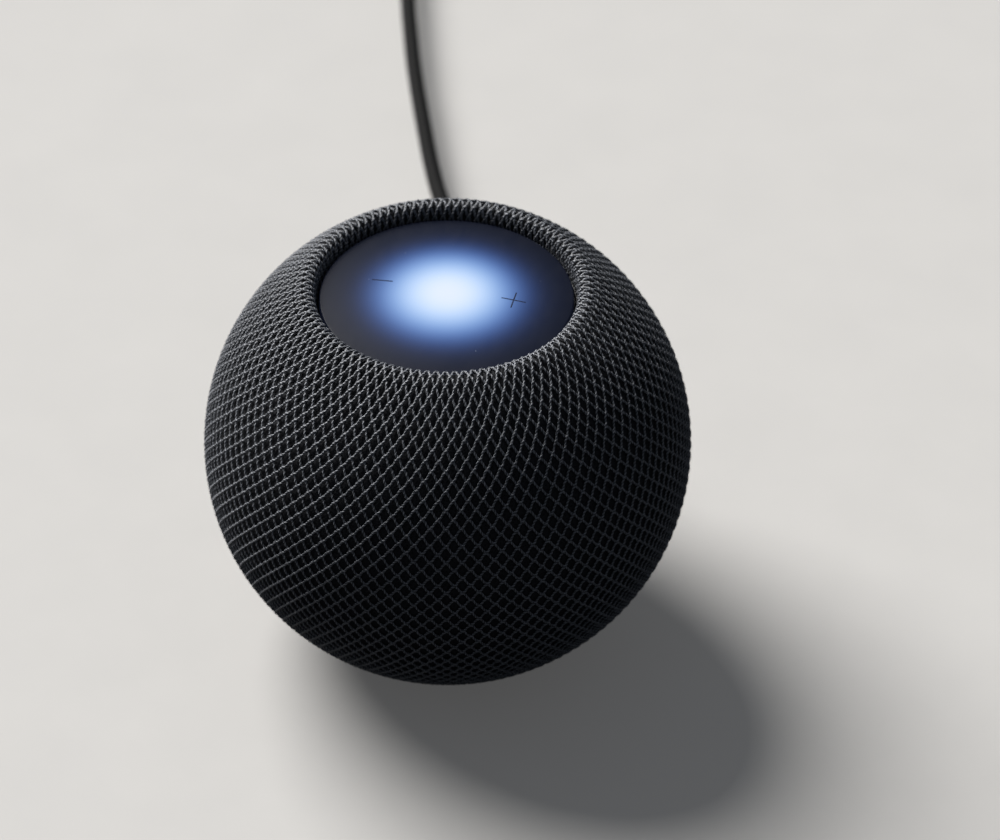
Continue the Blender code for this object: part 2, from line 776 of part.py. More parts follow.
def make_base(finish):
    turn(
        "foot_pad",
        [
            (0, 0),
            (FOOT_R - 0.5, 0),
            (FOOT_R, 0.5),
            (FOOT_R, FOOT_THICKNESS),
            (0, FOOT_THICKNESS),
        ],
        finish["silicone"],
        HOUSING_SIDES,
    )
    plate = turn(
        "base_plate",
        [
            (0, BASE_PLATE_Z),
            (20.2, BASE_PLATE_Z),
            (20.4, BASE_PLATE_Z + 0.2),
            (20.4, 4.5),
            (23.4, 5.0),
            (26.3, 7.1),
            (26.3, 8.1),
            (25.4, 8.1),
            (23.0, 6.2),
            (20.2, 5.9),
            (19.4, 4.5),
            (0, 4.5),
        ],
        finish["grey_plastic"],
        HOUSING_SIDES,
    )
    for number, (_, x, y) in enumerate(around(3, BASE_SCREW_RING_R, -90), 1):
        head_room = SCREW_HEAD_R + GAP
        head_way = screw_hole(f"cutter_head_{number}", x, y, 1, BASE_PLATE_Z + 1.3, head_room)
        cut(plate, head_way, screw_hole(f"cutter_base_{number}", x, y, 1, 6))
        make_screw(f"base_screw_{number}", x, y, BASE_PLATE_Z + 0.1, 9.7, finish)


# ---------------------------------------------------------------- cable


def cable_path():
    """Where the cable runs: down from the board, out of the rear, and away over the table."""
    return [
        Vector((0, CABLE_INNER_Y, BOARD_Z - GAP)),
        Vector((0, CABLE_INNER_Y, 60.0)),
        Vector((0, 28.5, 42.0)),
        Vector((0, 30.0, CABLE_EXIT_Z + 4.5)),
        Vector((0, 34.2, CABLE_EXIT_Z + 0.3)),
        Vector((0, 41.0, CABLE_EXIT_Z)),
        Vector((0, 51.0, CABLE_EXIT_Z)),
        Vector((-2.2, 63.0, 25.2)),
        Vector((-8.5, 80.0, 17.5)),
        Vector((-20.5, 105.0, 9.0)),
        Vector((-33.6, 130.6, CABLE_REST_Z)),
        Vector((-43.1, 155.1, CABLE_REST_Z)),
        Vector((-51.4, 179.0, CABLE_REST_Z)),
        Vector((-58.9, 203.8, CABLE_REST_Z)),
        Vector((-63.0, 218.6, CABLE_REST_Z)),
        Vector((-65.6, 228.0, CABLE_REST_Z)),
    ]


def smooth_path(points, steps):
    """A Catmull-Rom curve through the points, with the given number of steps between two of them."""
    padded = [2 * points[0] - points[1]] + points + [2 * points[-1] - points[-2]]
    smooth = []
    for before, start, end, after in zip(padded, padded[1:], padded[2:], padded[3:]):
        for step in range(steps):
            t = step / steps
            smooth.append(
                0.5
                * (
                    2 * start
                    + (end - before) * t
                    + (2 * before - 5 * start + 4 * end - after) * t**2
                    + (3 * start - before - 3 * end + after) * t**3
                )
            )
    smooth.append(points[-1])
    return smooth


def make_cable(finish):
    path = smooth_path(cable_path(), 2)
    curve = bpy.data.curves.new("power_cable", "CURVE")
    curve.dimensions = "3D"
    curve.bevel_depth = CABLE_R * MM
    curve.bevel_resolution = 2
    curve.use_fill_caps = True
    line = curve.splines.new("POLY")
    line.points.add(len(path) - 1)
    for point, place in zip(line.points, path):
        point.co = (*(place * MM), 1.0)
    curve.materials.append(finish["rubber"])
    cable = bpy.data.objects.new("power_cable", curve)
    bpy.context.scene.collection.objects.link(cable)


def make_strain_relief(finish):
    """The rubber collar in the case wall. Its local +Z points out of the rear."""
    bore = CABLE_R + GAP
    collar = [
        (bore, 2.0),
        (COLLAR_R + 1.0, 2.0),
        (COLLAR_R + 1.0, 3.2),
        (COLLAR_R - 0.6, 4.2),
        (COLLAR_R - 0.6, 11.2),
        (COLLAR_R, 11.2),
        (COLLAR_R - 0.5, 14.6),
        (bore + 0.5, 16.4),
        (bore, 16.4),
    ]
    turn(
        "cable_strain_relief",
        collar,
        finish["rubber"],
        SMALL_SIDES * 2,
        at=(0, 34, CABLE_EXIT_Z),
        turn=(-90, 0, 0),
    )


def stadium(width, height, corner_steps):
    """The outline of a flat bar with round ends, as (x, z) points."""
    radius = height / 2
    points = []
    for centre, first in ((width / 2 - radius, -90), (radius - width / 2, 90)):
        for angle in spaced(first, first + 180, corner_steps):
            bend = math.radians(angle)
            points.append((centre + radius * math.cos(bend), radius * math.sin(bend)))
    return points


def make_plug(finish):
    """The plug. Its local +Y points away from the cable."""
    start, end = cable_path()[-2:]
    heading = (end - start).normalized()
    place = bpy.data.objects.new("plug_place", None)
    bpy.context.scene.collection.objects.link(place)
    place.location = (end - heading * 3.0) * MM
    place.rotation_euler = (0, 0, math.atan2(-heading.x, heading.y))
    body = prism(
        "plug_body",
        stadium(PLUG_WIDTH, PLUG_HEIGHT, 7),
        PLUG_LENGTH,
        finish["black_plastic"],
        at=(0, PLUG_LENGTH / 2, 0),
        parent=place,
    )
    edge = body.modifiers.new("rounded ends", "BEVEL")
    edge.width = 0.6 * MM
    edge.segments = 2
    edge.limit_method = "ANGLE"
    edge.angle_limit = math.radians(60)
    socket = turn(
        "cutter_plug_socket",
        disc_outline(CABLE_R + GAP, -2, 3.0 + GAP),
        None,
        SMALL_SIDES * 2,
        turn=(-90, 0, 0),
        parent=place,
    )
    cut(body, socket)
    shell_start = PLUG_LENGTH + GAP
    shell = prism(
        "plug_shell",
        stadium(PLUG_SHELL_WIDTH, PLUG_SHELL_HEIGHT, 7),
        PLUG_SHELL_LENGTH,
        finish["steel"],
        at=(0, shell_start + PLUG_SHELL_LENGTH / 2, 0),
        parent=place,
    )
    mouth_width = PLUG_SHELL_WIDTH - 2 * PLUG_SHELL_WALL
    mouth_height = PLUG_SHELL_HEIGHT - 2 * PLUG_SHELL_WALL
    mouth = prism(
        "cutter_plug_mouth",
        stadium(mouth_width, mouth_height, 7),
        PLUG_SHELL_LENGTH,
        None,
        at=(0, shell_start + PLUG_SHELL_LENGTH / 2 + 1.0, 0),
        parent=place,
    )
    cut(shell, mouth)


# ---------------------------------------------------------------- assembly


def main():
    clear_scene()
    finish = make_materials()
    cone_axis = bpy.data.objects.new("cone_axis", None)
    bpy.context.scene.collection.objects.link(cone_axis)
    make_cover(finish)
    make_cover_fixings(finish)
    make_lens(finish)
    make_light(finish)
    make_microphones(finish)
    make_upper_housing(finish)
    make_lower_housing(finish)
    make_electronics(finish)
    make_driver_frame(finish)
    make_motor(finish)
    make_moving_cone(finish, cone_axis)
    make_suspension(finish)
    make_waveguide(finish)
    make_radiators(finish)
    make_base(finish)
    make_strain_relief(finish)
    make_cable(finish)
    make_plug(finish)


main()
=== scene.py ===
"""Looks of the smart home hub: knitted cover, glowing touch lens, braided cable and finished insides.

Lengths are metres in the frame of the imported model: +Z up, the foot on Z = 0, -Y the front.
MM turns millimetres into metres.
"""

import json
from functools import partialmethod
from math import asin, atan2, copysign, cos, hypot, pi, radians, sin, sqrt, tau

import bmesh
import bpy
import numpy as np
from mathutils import Matrix, Vector


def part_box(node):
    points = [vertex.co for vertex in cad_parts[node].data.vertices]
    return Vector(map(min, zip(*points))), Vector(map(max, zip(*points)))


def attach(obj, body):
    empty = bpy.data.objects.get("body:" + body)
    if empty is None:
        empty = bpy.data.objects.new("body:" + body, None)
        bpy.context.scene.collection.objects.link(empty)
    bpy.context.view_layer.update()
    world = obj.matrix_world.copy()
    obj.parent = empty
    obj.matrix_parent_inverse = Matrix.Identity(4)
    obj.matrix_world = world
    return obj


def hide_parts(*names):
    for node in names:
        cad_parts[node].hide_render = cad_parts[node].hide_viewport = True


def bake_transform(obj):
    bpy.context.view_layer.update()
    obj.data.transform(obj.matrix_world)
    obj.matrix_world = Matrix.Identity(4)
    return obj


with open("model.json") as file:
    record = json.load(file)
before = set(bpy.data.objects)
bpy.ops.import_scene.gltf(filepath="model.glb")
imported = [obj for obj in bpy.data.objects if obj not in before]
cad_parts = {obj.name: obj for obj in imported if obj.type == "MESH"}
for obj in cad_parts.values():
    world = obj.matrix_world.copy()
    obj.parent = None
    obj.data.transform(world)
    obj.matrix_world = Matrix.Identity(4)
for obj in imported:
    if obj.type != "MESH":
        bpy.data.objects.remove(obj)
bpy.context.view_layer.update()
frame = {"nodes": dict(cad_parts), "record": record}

MM = 0.001
TINY = 0.01 * MM
UPRIGHT = Matrix.Identity(4)

# An outline bends smoothly up to this angle, and has a corner beyond it.
SHARP_BEND = radians(28)

# The ball: a sphere whose hem lies this many degrees from its top, with a rolled rim round the lens.
BALL_R = 48.95 * MM
BALL_CENTRE = Vector((0, 0, 44.5 * MM))
HEM_ANGLE = 154.0
CREST_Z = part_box("knit_cover")[1].z
CREST_R = 27.5 * MM
ROLL_R = 3.44 * MM
MOUTH_R = 25.6 * MM
MOUTH_FALL = 2.3 * MM
TUCK_Z = 79.4 * MM

# The knit: two families of cords that cross, one over the other.
CELLS_AROUND = 96
CELL_SIDE = 2.3825 * MM
# They ride out and in by the swing about the rise, run steeper between crossings by the sway, and
# flatten at each crossing by the spread.
CORD_HALF_WIDTH = 0.26 * MM
CORD_HALF_HEIGHT = 0.2 * MM
CORD_SPREAD = 0.035 * MM
CORD_SIDES = 6
STEPS_PER_CELL = 8
TWIST_PITCH = 1.5
OVER_RISE = 0.09 * MM
OVER_SWING = 0.09 * MM
UNDER_RISE = 0.06 * MM
UNDER_SWING = -0.07 * MM
SWAY = 0.1 * MM
WEAVE_DEPTH = OVER_RISE + OVER_SWING + CORD_HALF_HEIGHT
LINER_DEPTH = 0.82 * MM
LINER_SHEET = 0.3 * MM

# The cable's collar comes out of the cover here.
COLLAR_LOW, COLLAR_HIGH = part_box("cable_strain_relief")
COLLAR_Z = (COLLAR_LOW.z + COLLAR_HIGH.z) / 2
CABLE_HOLE_R = 4.2 * MM

# The lens is a shallow dome.
LENS_LOW, LENS_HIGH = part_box("touch_lens")
LENS_R = LENS_HIGH.x
LENS_EDGE_Z = 81.3 * MM
LENS_RISE = LENS_HIGH.z - LENS_EDGE_Z
DOME_R = (LENS_R**2 + LENS_RISE**2) / (2 * LENS_RISE)

# Screws: the way through the parts they hold, and their own shank and head.
SHANK_WAY_R = 1.3 * MM
SHANK_R = 1.0 * MM
HEAD_TOP = 0.8 * MM

# The camera looks down at the ball from 1 m away. The ball stands off the middle of its view by
# these parts of a frame that is a thousand wide.
CAMERA_DISTANCE = 1.0
CAMERA_AZIMUTH = 13.8
CAMERA_ELEVATION = 39.5
CAMERA_LENS = 179.2
CAMERA_FSTOP = 20.0
FOCUS_BEFORE_CENTRE = 42 * MM
BALL_RIGHT_OF_VIEW = -52.4
BALL_BELOW_VIEW = 21.0
FRAME_WIDTH = 1000
SENSOR_WIDTH = 36.0

SKY_LOW = (0.058, 0.067, 0.08)
SKY_HIGH = (0.08, 0.09, 0.105)
SKY_SEEN = (0.55, 0.55, 0.55)
KEY_DIRECTION = Vector((-0.61, 0.4, 0.69))
KEY_ENERGY = 5.9
KEY_WIDTH = 40
FLOOR_R = 12.0
FLOOR_BOUNCE = (0.012, 0.011, 0.011)
FLOOR_LIFT = 0.07


# ---- values and nodes of a material


class Field:
    """A value in a node tree, which is reckoned with like a number."""

    def __init__(self, nodes, socket):
        self.nodes = nodes
        self.socket = socket

    def maths(self, operation, other=0.0, clamp=False):
        inputs = {0: self, 1: other}
        return self.nodes.field("ShaderNodeMath", 0, inputs, operation=operation, use_clamp=clamp)

    __add__ = partialmethod(maths, "ADD")
    __sub__ = partialmethod(maths, "SUBTRACT")
    __mul__ = partialmethod(maths, "MULTIPLY")
    __truediv__ = partialmethod(maths, "DIVIDE")
    __pow__ = partialmethod(maths, "POWER")

    def wave(self, pitch):
        """A wave from -1 to 1 that repeats at a pitch."""
        return (self * (tau / pitch)).maths("SINE")

    def grade(self, low, high, start=0.0, end=1.0):
        """Smoothly carries the value from low..high to start..end."""
        inputs = {"Value": self, "From Min": low, "From Max": high, "To Min": start, "To Max": end}
        return self.nodes.field("ShaderNodeMapRange", "Result", inputs, interpolation_type="SMOOTHSTEP")

    def blend(self, first, second):
        """The first colour where the value is 0, the second where it is 1."""
        return self.nodes.mix(self, first, second)

    def axes(self):
        parts = self.nodes.add("ShaderNodeSeparateXYZ", {"Vector": self}).outputs
        return [Field(self.nodes, part) for part in parts]


class Nodes:
    """A node tree, with the patterns that the finishes are made of. Their scale is per millimetre."""

    def __init__(self, tree):
        self.tree = tree

    def add(self, kind, inputs=None, **settings):
        """A node with its settings, and its inputs set to values or joined to fields."""
        made = self.tree.nodes.new(kind)
        for name, value in settings.items():
            setattr(made, name, value)
        for name, value in (inputs or {}).items():
            self.give(made.inputs[name], value)
        return made

    def give(self, socket, value):
        if isinstance(value, Field):
            self.tree.links.new(value.socket, socket)
        elif socket.type == "RGBA":
            socket.default_value = (*value, 1.0)
        else:
            socket.default_value = value

    def field(self, kind, output, inputs=None, **settings):
        return Field(self, self.add(kind, inputs, **settings).outputs[output])

    def mix(self, factor, first, second, way="MIX"):
        inputs = {"Factor": factor, "A": first, "B": second}
        return self.field("ShaderNodeMix", "Result", inputs, data_type="RGBA", blend_type=way)

    def place(self, stretch=(1, 1, 1)):
        """Object coordinates in millimetres, stretched."""
        scale = tuple(value / MM for value in stretch)
        inputs = {"Vector": self.field("ShaderNodeTexCoord", "Object"), "Scale": scale}
        return self.field("ShaderNodeMapping", "Vector", inputs)

    def noise(self, scale, detail=3.0, roughness=0.55, stretch=(1, 1, 1)):
        inputs = {"Vector": self.place(stretch), "Scale": scale, "Detail": detail, "Roughness": roughness}
        return self.field("ShaderNodeTexNoise", "Fac", inputs)

    def cells(self, scale):
        return self.field("ShaderNodeTexVoronoi", "Distance", {"Vector": self.place(), "Scale": scale})

    def wound(self):
        """Turns around a cord and millimetres along it, from the UV map that it was swept with."""
        return self.field("ShaderNodeUVMap", "UV", uv_map="wound").axes()[:2]

    def bump(self, height, depth):
        return self.field("ShaderNodeBump", "Normal", {"Height": height, "Distance": depth * MM})


class Finish(Nodes):
    """A new material, with its shader's inputs set by name."""

    def __init__(self, name, **inputs):
        self.material = bpy.data.materials.new(name)
        self.material.use_nodes = True
        super().__init__(self.material.node_tree)
        self.set(**inputs)

    def set(self, **inputs):
        """Sets inputs of the shader and returns the material."""
        shader = self.tree.nodes["Principled BSDF"]
        for name, value in inputs.items():
            self.give(shader.inputs[name.replace("_", " ")], value)
        return self.material

    def relief(self, height, low, high, dark, light, depth):
        """The colour goes from dark in the hollows, at low, to light on the heights, at high: painted shade
        in the hollows and painted light on the heights.
        """
        shade = height.grade(low, high).blend(dark, light)
        return self.set(Base_Color=shade, Normal=self.bump(height, depth))


def tinted(colour, share):
    return tuple(min(1.0, channel * share) for channel in colour)


# ---- materials of the outside


def yarn_finish(name, light, sheen):
    """Yarn of two plies twisted together, from dark grey in the groove to light on the ply: painted shade
    in the groove and painted highlights on the ply.
    """
    made = Finish(name, Roughness=0.5, Specular_IOR_Level=0.7, Sheen_Weight=sheen, Sheen_Roughness=0.4)
    turns, travel = made.wound()
    ply = (turns * 2.0 + travel / (TWIST_PITCH / 2)).wave(1.0).grade(-1.0, 1.0)
    fibre = made.noise(6.0, 4.0, 0.7)
    patch = made.noise(0.35, 2.0).grade(0.2, 0.8, 0.75, 1.1)
    # Painted shade in the groove and painted highlights on the ply and its fibres; the patches are the
    # yarn's own uneven tone.
    shade = (ply * fibre.grade(0.3, 0.7, 0.35, 1.0)).maths("MULTIPLY", patch, clamp=True)
    return made.set(
        Base_Color=shade.blend((0.028, 0.031, 0.038), light),
        Normal=made.bump(ply + fibre * 0.6, 0.06),
    )


def lens_finish():
    """Smoked touch lens, lit from below by a soft blue-white pool of light."""
    made = Finish("touch_lens_smoked", Specular_IOR_Level=0.078, Emission_Strength=1.0)
    inputs = {"Vector": made.place(), "Location": (-0.3, 0.7, 0.0), "Scale": (1.0, 1.0, 0.0)}
    level = made.field("ShaderNodeMapping", "Vector", inputs)
    radius = made.field("ShaderNodeVectorMath", "Value", {0: level}, operation="LENGTH")

    def pool(strength, reach, fall):
        """Light that is level in the middle, then falls away smoothly."""
        return ((radius / reach) ** fall * -1.0).maths("EXPONENT") * strength

    channels = {"Red": pool(0.75, 9.6, 2.6), "Green": pool(0.82, 11.1, 3.0), "Blue": pool(0.95, 13.3, 3.8)}
    glow = made.field("ShaderNodeCombineColor", "Color", channels)
    haze = pool(0.1, 18.5, 3.0).blend((0.0, 0.0, 0.0), (0.3, 0.42, 1.0))
    smear = made.noise(0.5, 4.0, stretch=(1.0, 0.35, 1.0))
    dust = made.cells(0.3).grade(0.012, 0.04, 1.0, 0.0)
    return made.set(
        Base_Color=dust.blend((0.003, 0.004, 0.008), (0.2, 0.22, 0.26)),
        Emission_Color=made.mix(1.0, glow, haze, "ADD"),
        Roughness=smear.grade(0.3, 0.7, 0.38, 0.46),
        Normal=made.bump(dust, 0.03),
    )


def moulded_finish(name, colour, roughness, grain=6.0, depth=0.02, glint=0.5):
    """Moulded plastic or rubber with spark-eroded grain and faint flow marks."""
    made = Finish(name, Specular_IOR_Level=glint)
    fine = made.noise(grain, 5.0, 0.65)
    flow = made.noise(0.12, 2.0, stretch=(1.0, 1.0, 0.25)).grade(0.25, 0.75)
    return made.set(
        Base_Color=flow.blend(colour, tinted(colour, 1.35)),
        Roughness=fine.grade(0.25, 0.75, roughness - 0.07, roughness + 0.07),
        Normal=made.bump(fine, depth),
    )


def metal_finish(name, colour, roughness):
    """Bare metal with fine brushed lines, faint stains and a worn sheen."""
    made = Finish(name, Metallic=1.0)
    lines = made.noise(14.0, 4.0, stretch=(1, 1, 0.05))
    stains = made.noise(0.25, 3.0).grade(0.3, 0.75)
    return made.set(
        Base_Color=stains.blend(tinted(colour, 0.7), colour),
        Roughness=lines.grade(0.2, 0.8, roughness - 0.08, roughness + 0.12),
        Normal=made.bump(lines, 0.006),
    )


def braid_finish():
    """Black braided jacket: forty fine threads side by side along the cable, with painted shade between the
    threads.
    """
    made = Finish("black_braid", Roughness=0.7, Specular_IOR_Level=0.15)
    turns, _ = made.wound()
    shade = turns.wave(1 / 40).grade(-1.0, 1.0) * made.noise(7.0, 4.0, 0.7).grade(0.3, 0.7)
    return made.set(
        Base_Color=shade.blend((0.002, 0.002, 0.0022), (0.009, 0.0088, 0.009)),
        Normal=made.bump(shade, 0.05),
    )


# ---- materials of the inside


def porous_finish(name, scale, edges, dark, light, depth, glint=0.5):
    """Round pores between thin walls: open-cell foam or a fine mesh."""
    made = Finish(name, Roughness=0.95, Specular_IOR_Level=glint)
    return made.relief(made.cells(scale), *edges, dark, light, depth)


def woven_finish(name, dark, light, pitch, roughness):
    """Plain-woven cloth: threads pass over and under each other at a pitch in millimetres."""
    made = Finish(name, Roughness=roughness)
    x, y, _ = made.place().axes()
    height = (x.wave(pitch) * y.wave(pitch)).grade(-1.0, 1.0) + made.noise(9.0, 4.0, 0.7) * 0.5
    return made.relief(height, 0.2, 1.2, dark, light, 0.06)


def fibre_finish(name, dark, light, roughness):
    """Pressed paper pulp: short fibres that lie every way."""
    made = Finish(name, Roughness=roughness)
    ways = [made.noise(5.0, 4.0, 0.7, stretch) for stretch in ((1.0, 0.15, 1.0), (0.15, 1.0, 1.0))]
    return made.relief(ways[0].maths("MAXIMUM", ways[1]), 0.45, 0.75, dark, light, 0.08)


def ferrite_finish():
    """Sintered ferrite: near-black grains with grinding marks."""
    made = Finish("ferrite_ground", Roughness=0.55)
    both = made.cells(7.0) + made.noise(1.5, 4.0, stretch=(1.0, 1.0, 9.0)) * 0.5
    return made.relief(both, 0.3, 1.0, (0.022, 0.022, 0.025), (0.085, 0.085, 0.09), 0.03)


def board_finish():
    """Green solder mask over copper tracks that run both ways, with tinned vias."""
    made = Finish("board_green")
    where = made.place()
    x, y, _ = where.axes()
    inputs = {"Vector": where, "Scale": 0.2}
    zone, _, _ = made.field("ShaderNodeTexVoronoi", "Color", inputs, distance="CHEBYCHEV").axes()
    inputs = {"Factor": zone.maths("GREATER_THAN", 0.5), "A": x.wave(0.9), "B": y.wave(0.9)}
    tracks = made.field("ShaderNodeMix", "Result", inputs).grade(0.3, 0.5)
    via = made.cells(0.45).grade(0.1, 0.13, 1.0, 0.0)
    mask = tracks.blend((0.004, 0.035, 0.018), (0.01, 0.085, 0.04))
    return made.set(
        Base_Color=via.blend(mask, (0.6, 0.6, 0.56)),
        Metallic=via,
        Roughness=made.noise(2.0).grade(0.3, 0.7, 0.28, 0.42),
        Normal=made.bump(tracks + via, 0.03),
    )


def film_finish(name, base, line, pitch, metallic, roughness):
    """Thin film with fine conductors laid on it in a diamond lattice."""
    made = Finish(name)
    x, y, _ = made.place().axes()
    lattice = (x + y).wave(pitch).maths("MAXIMUM", (x - y).wave(pitch)).grade(0.9, 0.97)
    wrinkle = made.noise(0.3, 3.0)
    return made.set(
        Base_Color=lattice.blend(base, line),
        Metallic=lattice * metallic,
        Roughness=wrinkle.grade(0.3, 0.7, roughness - 0.06, roughness + 0.1),
        Normal=made.bump(wrinkle + lattice, 0.02),
    )


def milky_finish(name, colour, glow, power):
    """Light-scattering plastic, lit from inside."""
    made = Finish(name, Roughness=0.45, Subsurface_Weight=0.3, Subsurface_Scale=MM, Emission_Strength=power)
    cloud = made.noise(0.8, 4.0)
    pale = tinted(colour, 1.08)
    return made.set(
        Base_Color=cloud.blend(colour, pale),
        Emission_Color=cloud.blend(glow, pale),
        Normal=made.bump(cloud, 0.01),
    )


def coil_finish(former_r):
    """Amber film former with lacquered copper wire wound on it."""
    made = Finish("coil_wound", Roughness=0.3)
    x, y, _ = made.place().axes()
    wound = (x**2.0 + y**2.0).maths("SQRT").maths("GREATER_THAN", former_r / MM + 0.03)
    patina = made.noise(3.0, 4.0)
    copper = patina.blend((0.5, 0.17, 0.06), (0.72, 0.3, 0.14))
    film = patina.blend((0.4, 0.17, 0.03), (0.55, 0.27, 0.06))
    return made.set(Base_Color=wound.blend(film, copper), Metallic=wound, Normal=made.bump(patina, 0.01))


def led_finish():
    """A white case round a yellow phosphor window that glows."""
    made = Finish("led_case", Roughness=0.35, Emission_Strength=1.5)
    x, y, z = made.place().axes()
    window = (x**2.0 + y**2.0).maths("LESS_THAN", 0.56) * z.maths("GREATER_THAN", 0.0)
    speck = made.noise(9.0, 3.0)
    phosphor = speck.blend((0.75, 0.6, 0.12), (0.9, 0.8, 0.3))
    case = speck.blend((0.7, 0.7, 0.68), (0.82, 0.82, 0.8))
    return made.set(
        Base_Color=window.blend(case, phosphor),
        Emission_Color=window.blend((0.0, 0.0, 0.0), (0.55, 0.72, 1.0)),
        Normal=made.bump(speck, 0.01),
    )


# The finish of each material slot, and of the cover's hem. The cords, the liner, the lens, the braid and
# the coil have finishes of their own.
FINISH = {
    "black_plastic": moulded_finish("plastic_black", (0.015, 0.015, 0.017), 0.5),
    "grey_plastic": moulded_finish("plastic_grey", (0.06, 0.06, 0.065), 0.55),
    "silicone": moulded_finish("silicone_grey", (0.09, 0.09, 0.1), 0.75, 3.0, 0.01, 0.3),
    "rubber": moulded_finish("rubber_black", (0.018, 0.018, 0.018), 0.65),
    "chip": moulded_finish("epoxy_black", (0.02, 0.02, 0.022), 0.5),
    # The foam, ferrite, woven and pulp finishes have painted shade in their hollows and painted light on
    # their heights.
    "foam": porous_finish("foam_black", 2.6, (0.15, 0.6), (0.004,) * 3, (0.032, 0.032, 0.033), 0.25),
    "ferrite": ferrite_finish(),
    "board": board_finish(),
    "led": led_finish(),
    "screw": metal_finish("steel_black", (0.08, 0.08, 0.09), 0.4),
    "tin": metal_finish("tin_plate", (0.62, 0.62, 0.6), 0.3),
    "aluminium": metal_finish("aluminium_sheet", (0.72, 0.73, 0.75), 0.35),
    "steel": metal_finish("zinc_plate", (0.5, 0.5, 0.52), 0.35),
    "cord": woven_finish("cord_black", (0.008, 0.008, 0.009), (0.05, 0.05, 0.055), 0.5, 0.75),
    "hem": woven_finish("hem_black", (0.012, 0.012, 0.014), (0.1, 0.1, 0.11), 0.8, 0.7),
    "spider_cloth": woven_finish("cloth_amber", (0.3, 0.17, 0.05), (0.62, 0.42, 0.16), 0.7, 0.8),
    "cone_paper": fibre_finish("pulp_black", (0.012, 0.012, 0.013), (0.06, 0.06, 0.062), 0.75),
    "polyimide": film_finish("polyimide_amber", (0.42, 0.16, 0.02), (0.7, 0.36, 0.1), 1.0, 0.6, 0.3),
    "film": film_finish("sensor_film", (0.2, 0.22, 0.22), (0.75, 0.6, 0.35), 3.6, 0.9, 0.35),
    "diffuser": milky_finish("diffuser_milky", (0.74, 0.76, 0.78), (0.4, 0.58, 1.0), 0.3),
}


# ---- pieces and the nodes they stand for


def linked(name, data):
    made = bpy.data.objects.new(name, data)
    bpy.context.scene.collection.objects.link(made)
    return made


def stand_for(item, node=None, body="hub", slot=None, material=None):
    """The piece takes the place of a CAD node, or is one more of a slot. It rides on a body.

    It takes its own material, or else the finish of its slot.
    """
    slot = slot or slot_of(node)
    if not item.data.materials:
        item.data.materials.append(material or FINISH[slot])
    if body:
        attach(item, body)
    if node:
        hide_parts(node)
    return item


def slot_of(node):
    return next(row["material_slot"] for row in frame["record"]["subparts"] if row["node"] == node)


def middle_of(node):
    low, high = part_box(node)
    return (low + high) / 2


def size_of(node):
    low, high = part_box(node)
    return high - low


def screws_of(kind):
    return [f"{kind}_screw_{number}" for number in (1, 2, 3)]


def dress_nodes():
    """Gives every carried-over CAD node the finish of its slot."""
    for row in frame["record"]["subparts"]:
        materials = frame["nodes"][row["node"]].data.materials
        materials.clear()
        materials.append(FINISH.get(row["material_slot"], FINISH["black_plastic"]))


# ---- mesh helpers


def unit(vectors):
    return vectors / np.linalg.norm(vectors, axis=1)[:, None]


def lengths_along(path):
    return np.concatenate([[0.0], np.cumsum(np.linalg.norm(np.diff(path, axis=0), axis=1))])


def hermite(p, q, leave, arrive, t):
    """The smooth curve from p to q that leaves and arrives in the given directions."""
    return (
        (2 * t**3 - 3 * t**2 + 1) * p
        + (t**3 - 2 * t**2 + t) * leave
        + (3 * t**2 - 2 * t**3) * q
        + (t**3 - t**2) * arrive
    )


def piece_from(name, points, quads, wound=None, sharp=None):
    """A mesh piece from arrays of points and four-sided faces that face outwards, shaded smooth."""
    a, b, c, d = (points[quads[:, corner]] for corner in range(4))
    if np.sum(a * (np.cross(b, c) + np.cross(c, d))) < 0:
        quads = quads[:, ::-1]
        wound = wound[:, ::-1] if wound is not None else None
    mesh = bpy.data.meshes.new(name)
    mesh.vertices.add(len(points))
    mesh.vertices.foreach_set("co", points.astype(np.float32).ravel())
    mesh.loops.add(quads.size)
    mesh.loops.foreach_set("vertex_index", quads.astype(np.int32).ravel())
    mesh.polygons.add(len(quads))
    mesh.polygons.foreach_set("loop_start", np.arange(0, quads.size, 4, dtype=np.int32))
    if wound is not None:
        layer = mesh.uv_layers.new(name="wound")
        layer.data.foreach_set("uv", wound.astype(np.float32).ravel())
    mesh.update(calc_edges=True)
    mesh.validate()
    mesh.shade_smooth()
    if sharp:
        mesh.set_sharp_from_angle(angle=radians(sharp))
    return linked(name, mesh)


def piece_of(name, built, sharp=40.0):
    """A piece from a bmesh, shaded smooth except at sharp edges."""
    bmesh.ops.recalc_face_normals(built, faces=built.faces)
    if built.calc_volume(signed=True) < 0:
        bmesh.ops.reverse_faces(built, faces=built.faces)
    mesh = bpy.data.meshes.new(name)
    built.to_mesh(mesh)
    built.free()
    mesh.shade_smooth()
    mesh.set_sharp_from_angle(angle=radians(sharp))
    return linked(name, mesh)


def tube_faces(rings, sides):
    """Faces of a closed tube of rings: its walls, then a fan of four-sided faces over each end."""
    around = np.arange(sides)
    after = (around + 1) % sides
    starts = np.arange(rings - 1)[:, None] * sides
    wall = np.stack([starts + around, starts + after, starts + after + sides, starts + around + sides], -1)
    middle = np.arange(1, sides - 1, 2)
    cap = np.stack([np.zeros_like(middle), middle, middle + 1, middle + 2], -1)
    return np.concatenate([wall.reshape(-1, 4), cap[:, ::-1], cap + (rings - 1) * sides])


def tube_piece(name, rings, sharp=None):
    faces = tube_faces(*rings.shape[:2])
    return piece_from(name, rings.reshape(-1, 3), faces, sharp=sharp)


def sweep(path, normal, half_width, half_height, sides):
    """Rings of an oval section carried along a path, and the path's length at each ring."""
    along = unit(np.gradient(path, axis=0))
    across = unit(np.cross(along, normal))
    outwards = np.cross(across, along)
    angle = np.arange(sides) * tau / sides
    rings = (
        path[:, None, :]
        + half_width * np.cos(angle)[None, :, None] * across[:, None, :]
        + half_height * np.sin(angle)[None, :, None] * outwards[:, None, :]
    )
    return rings, lengths_along(path)


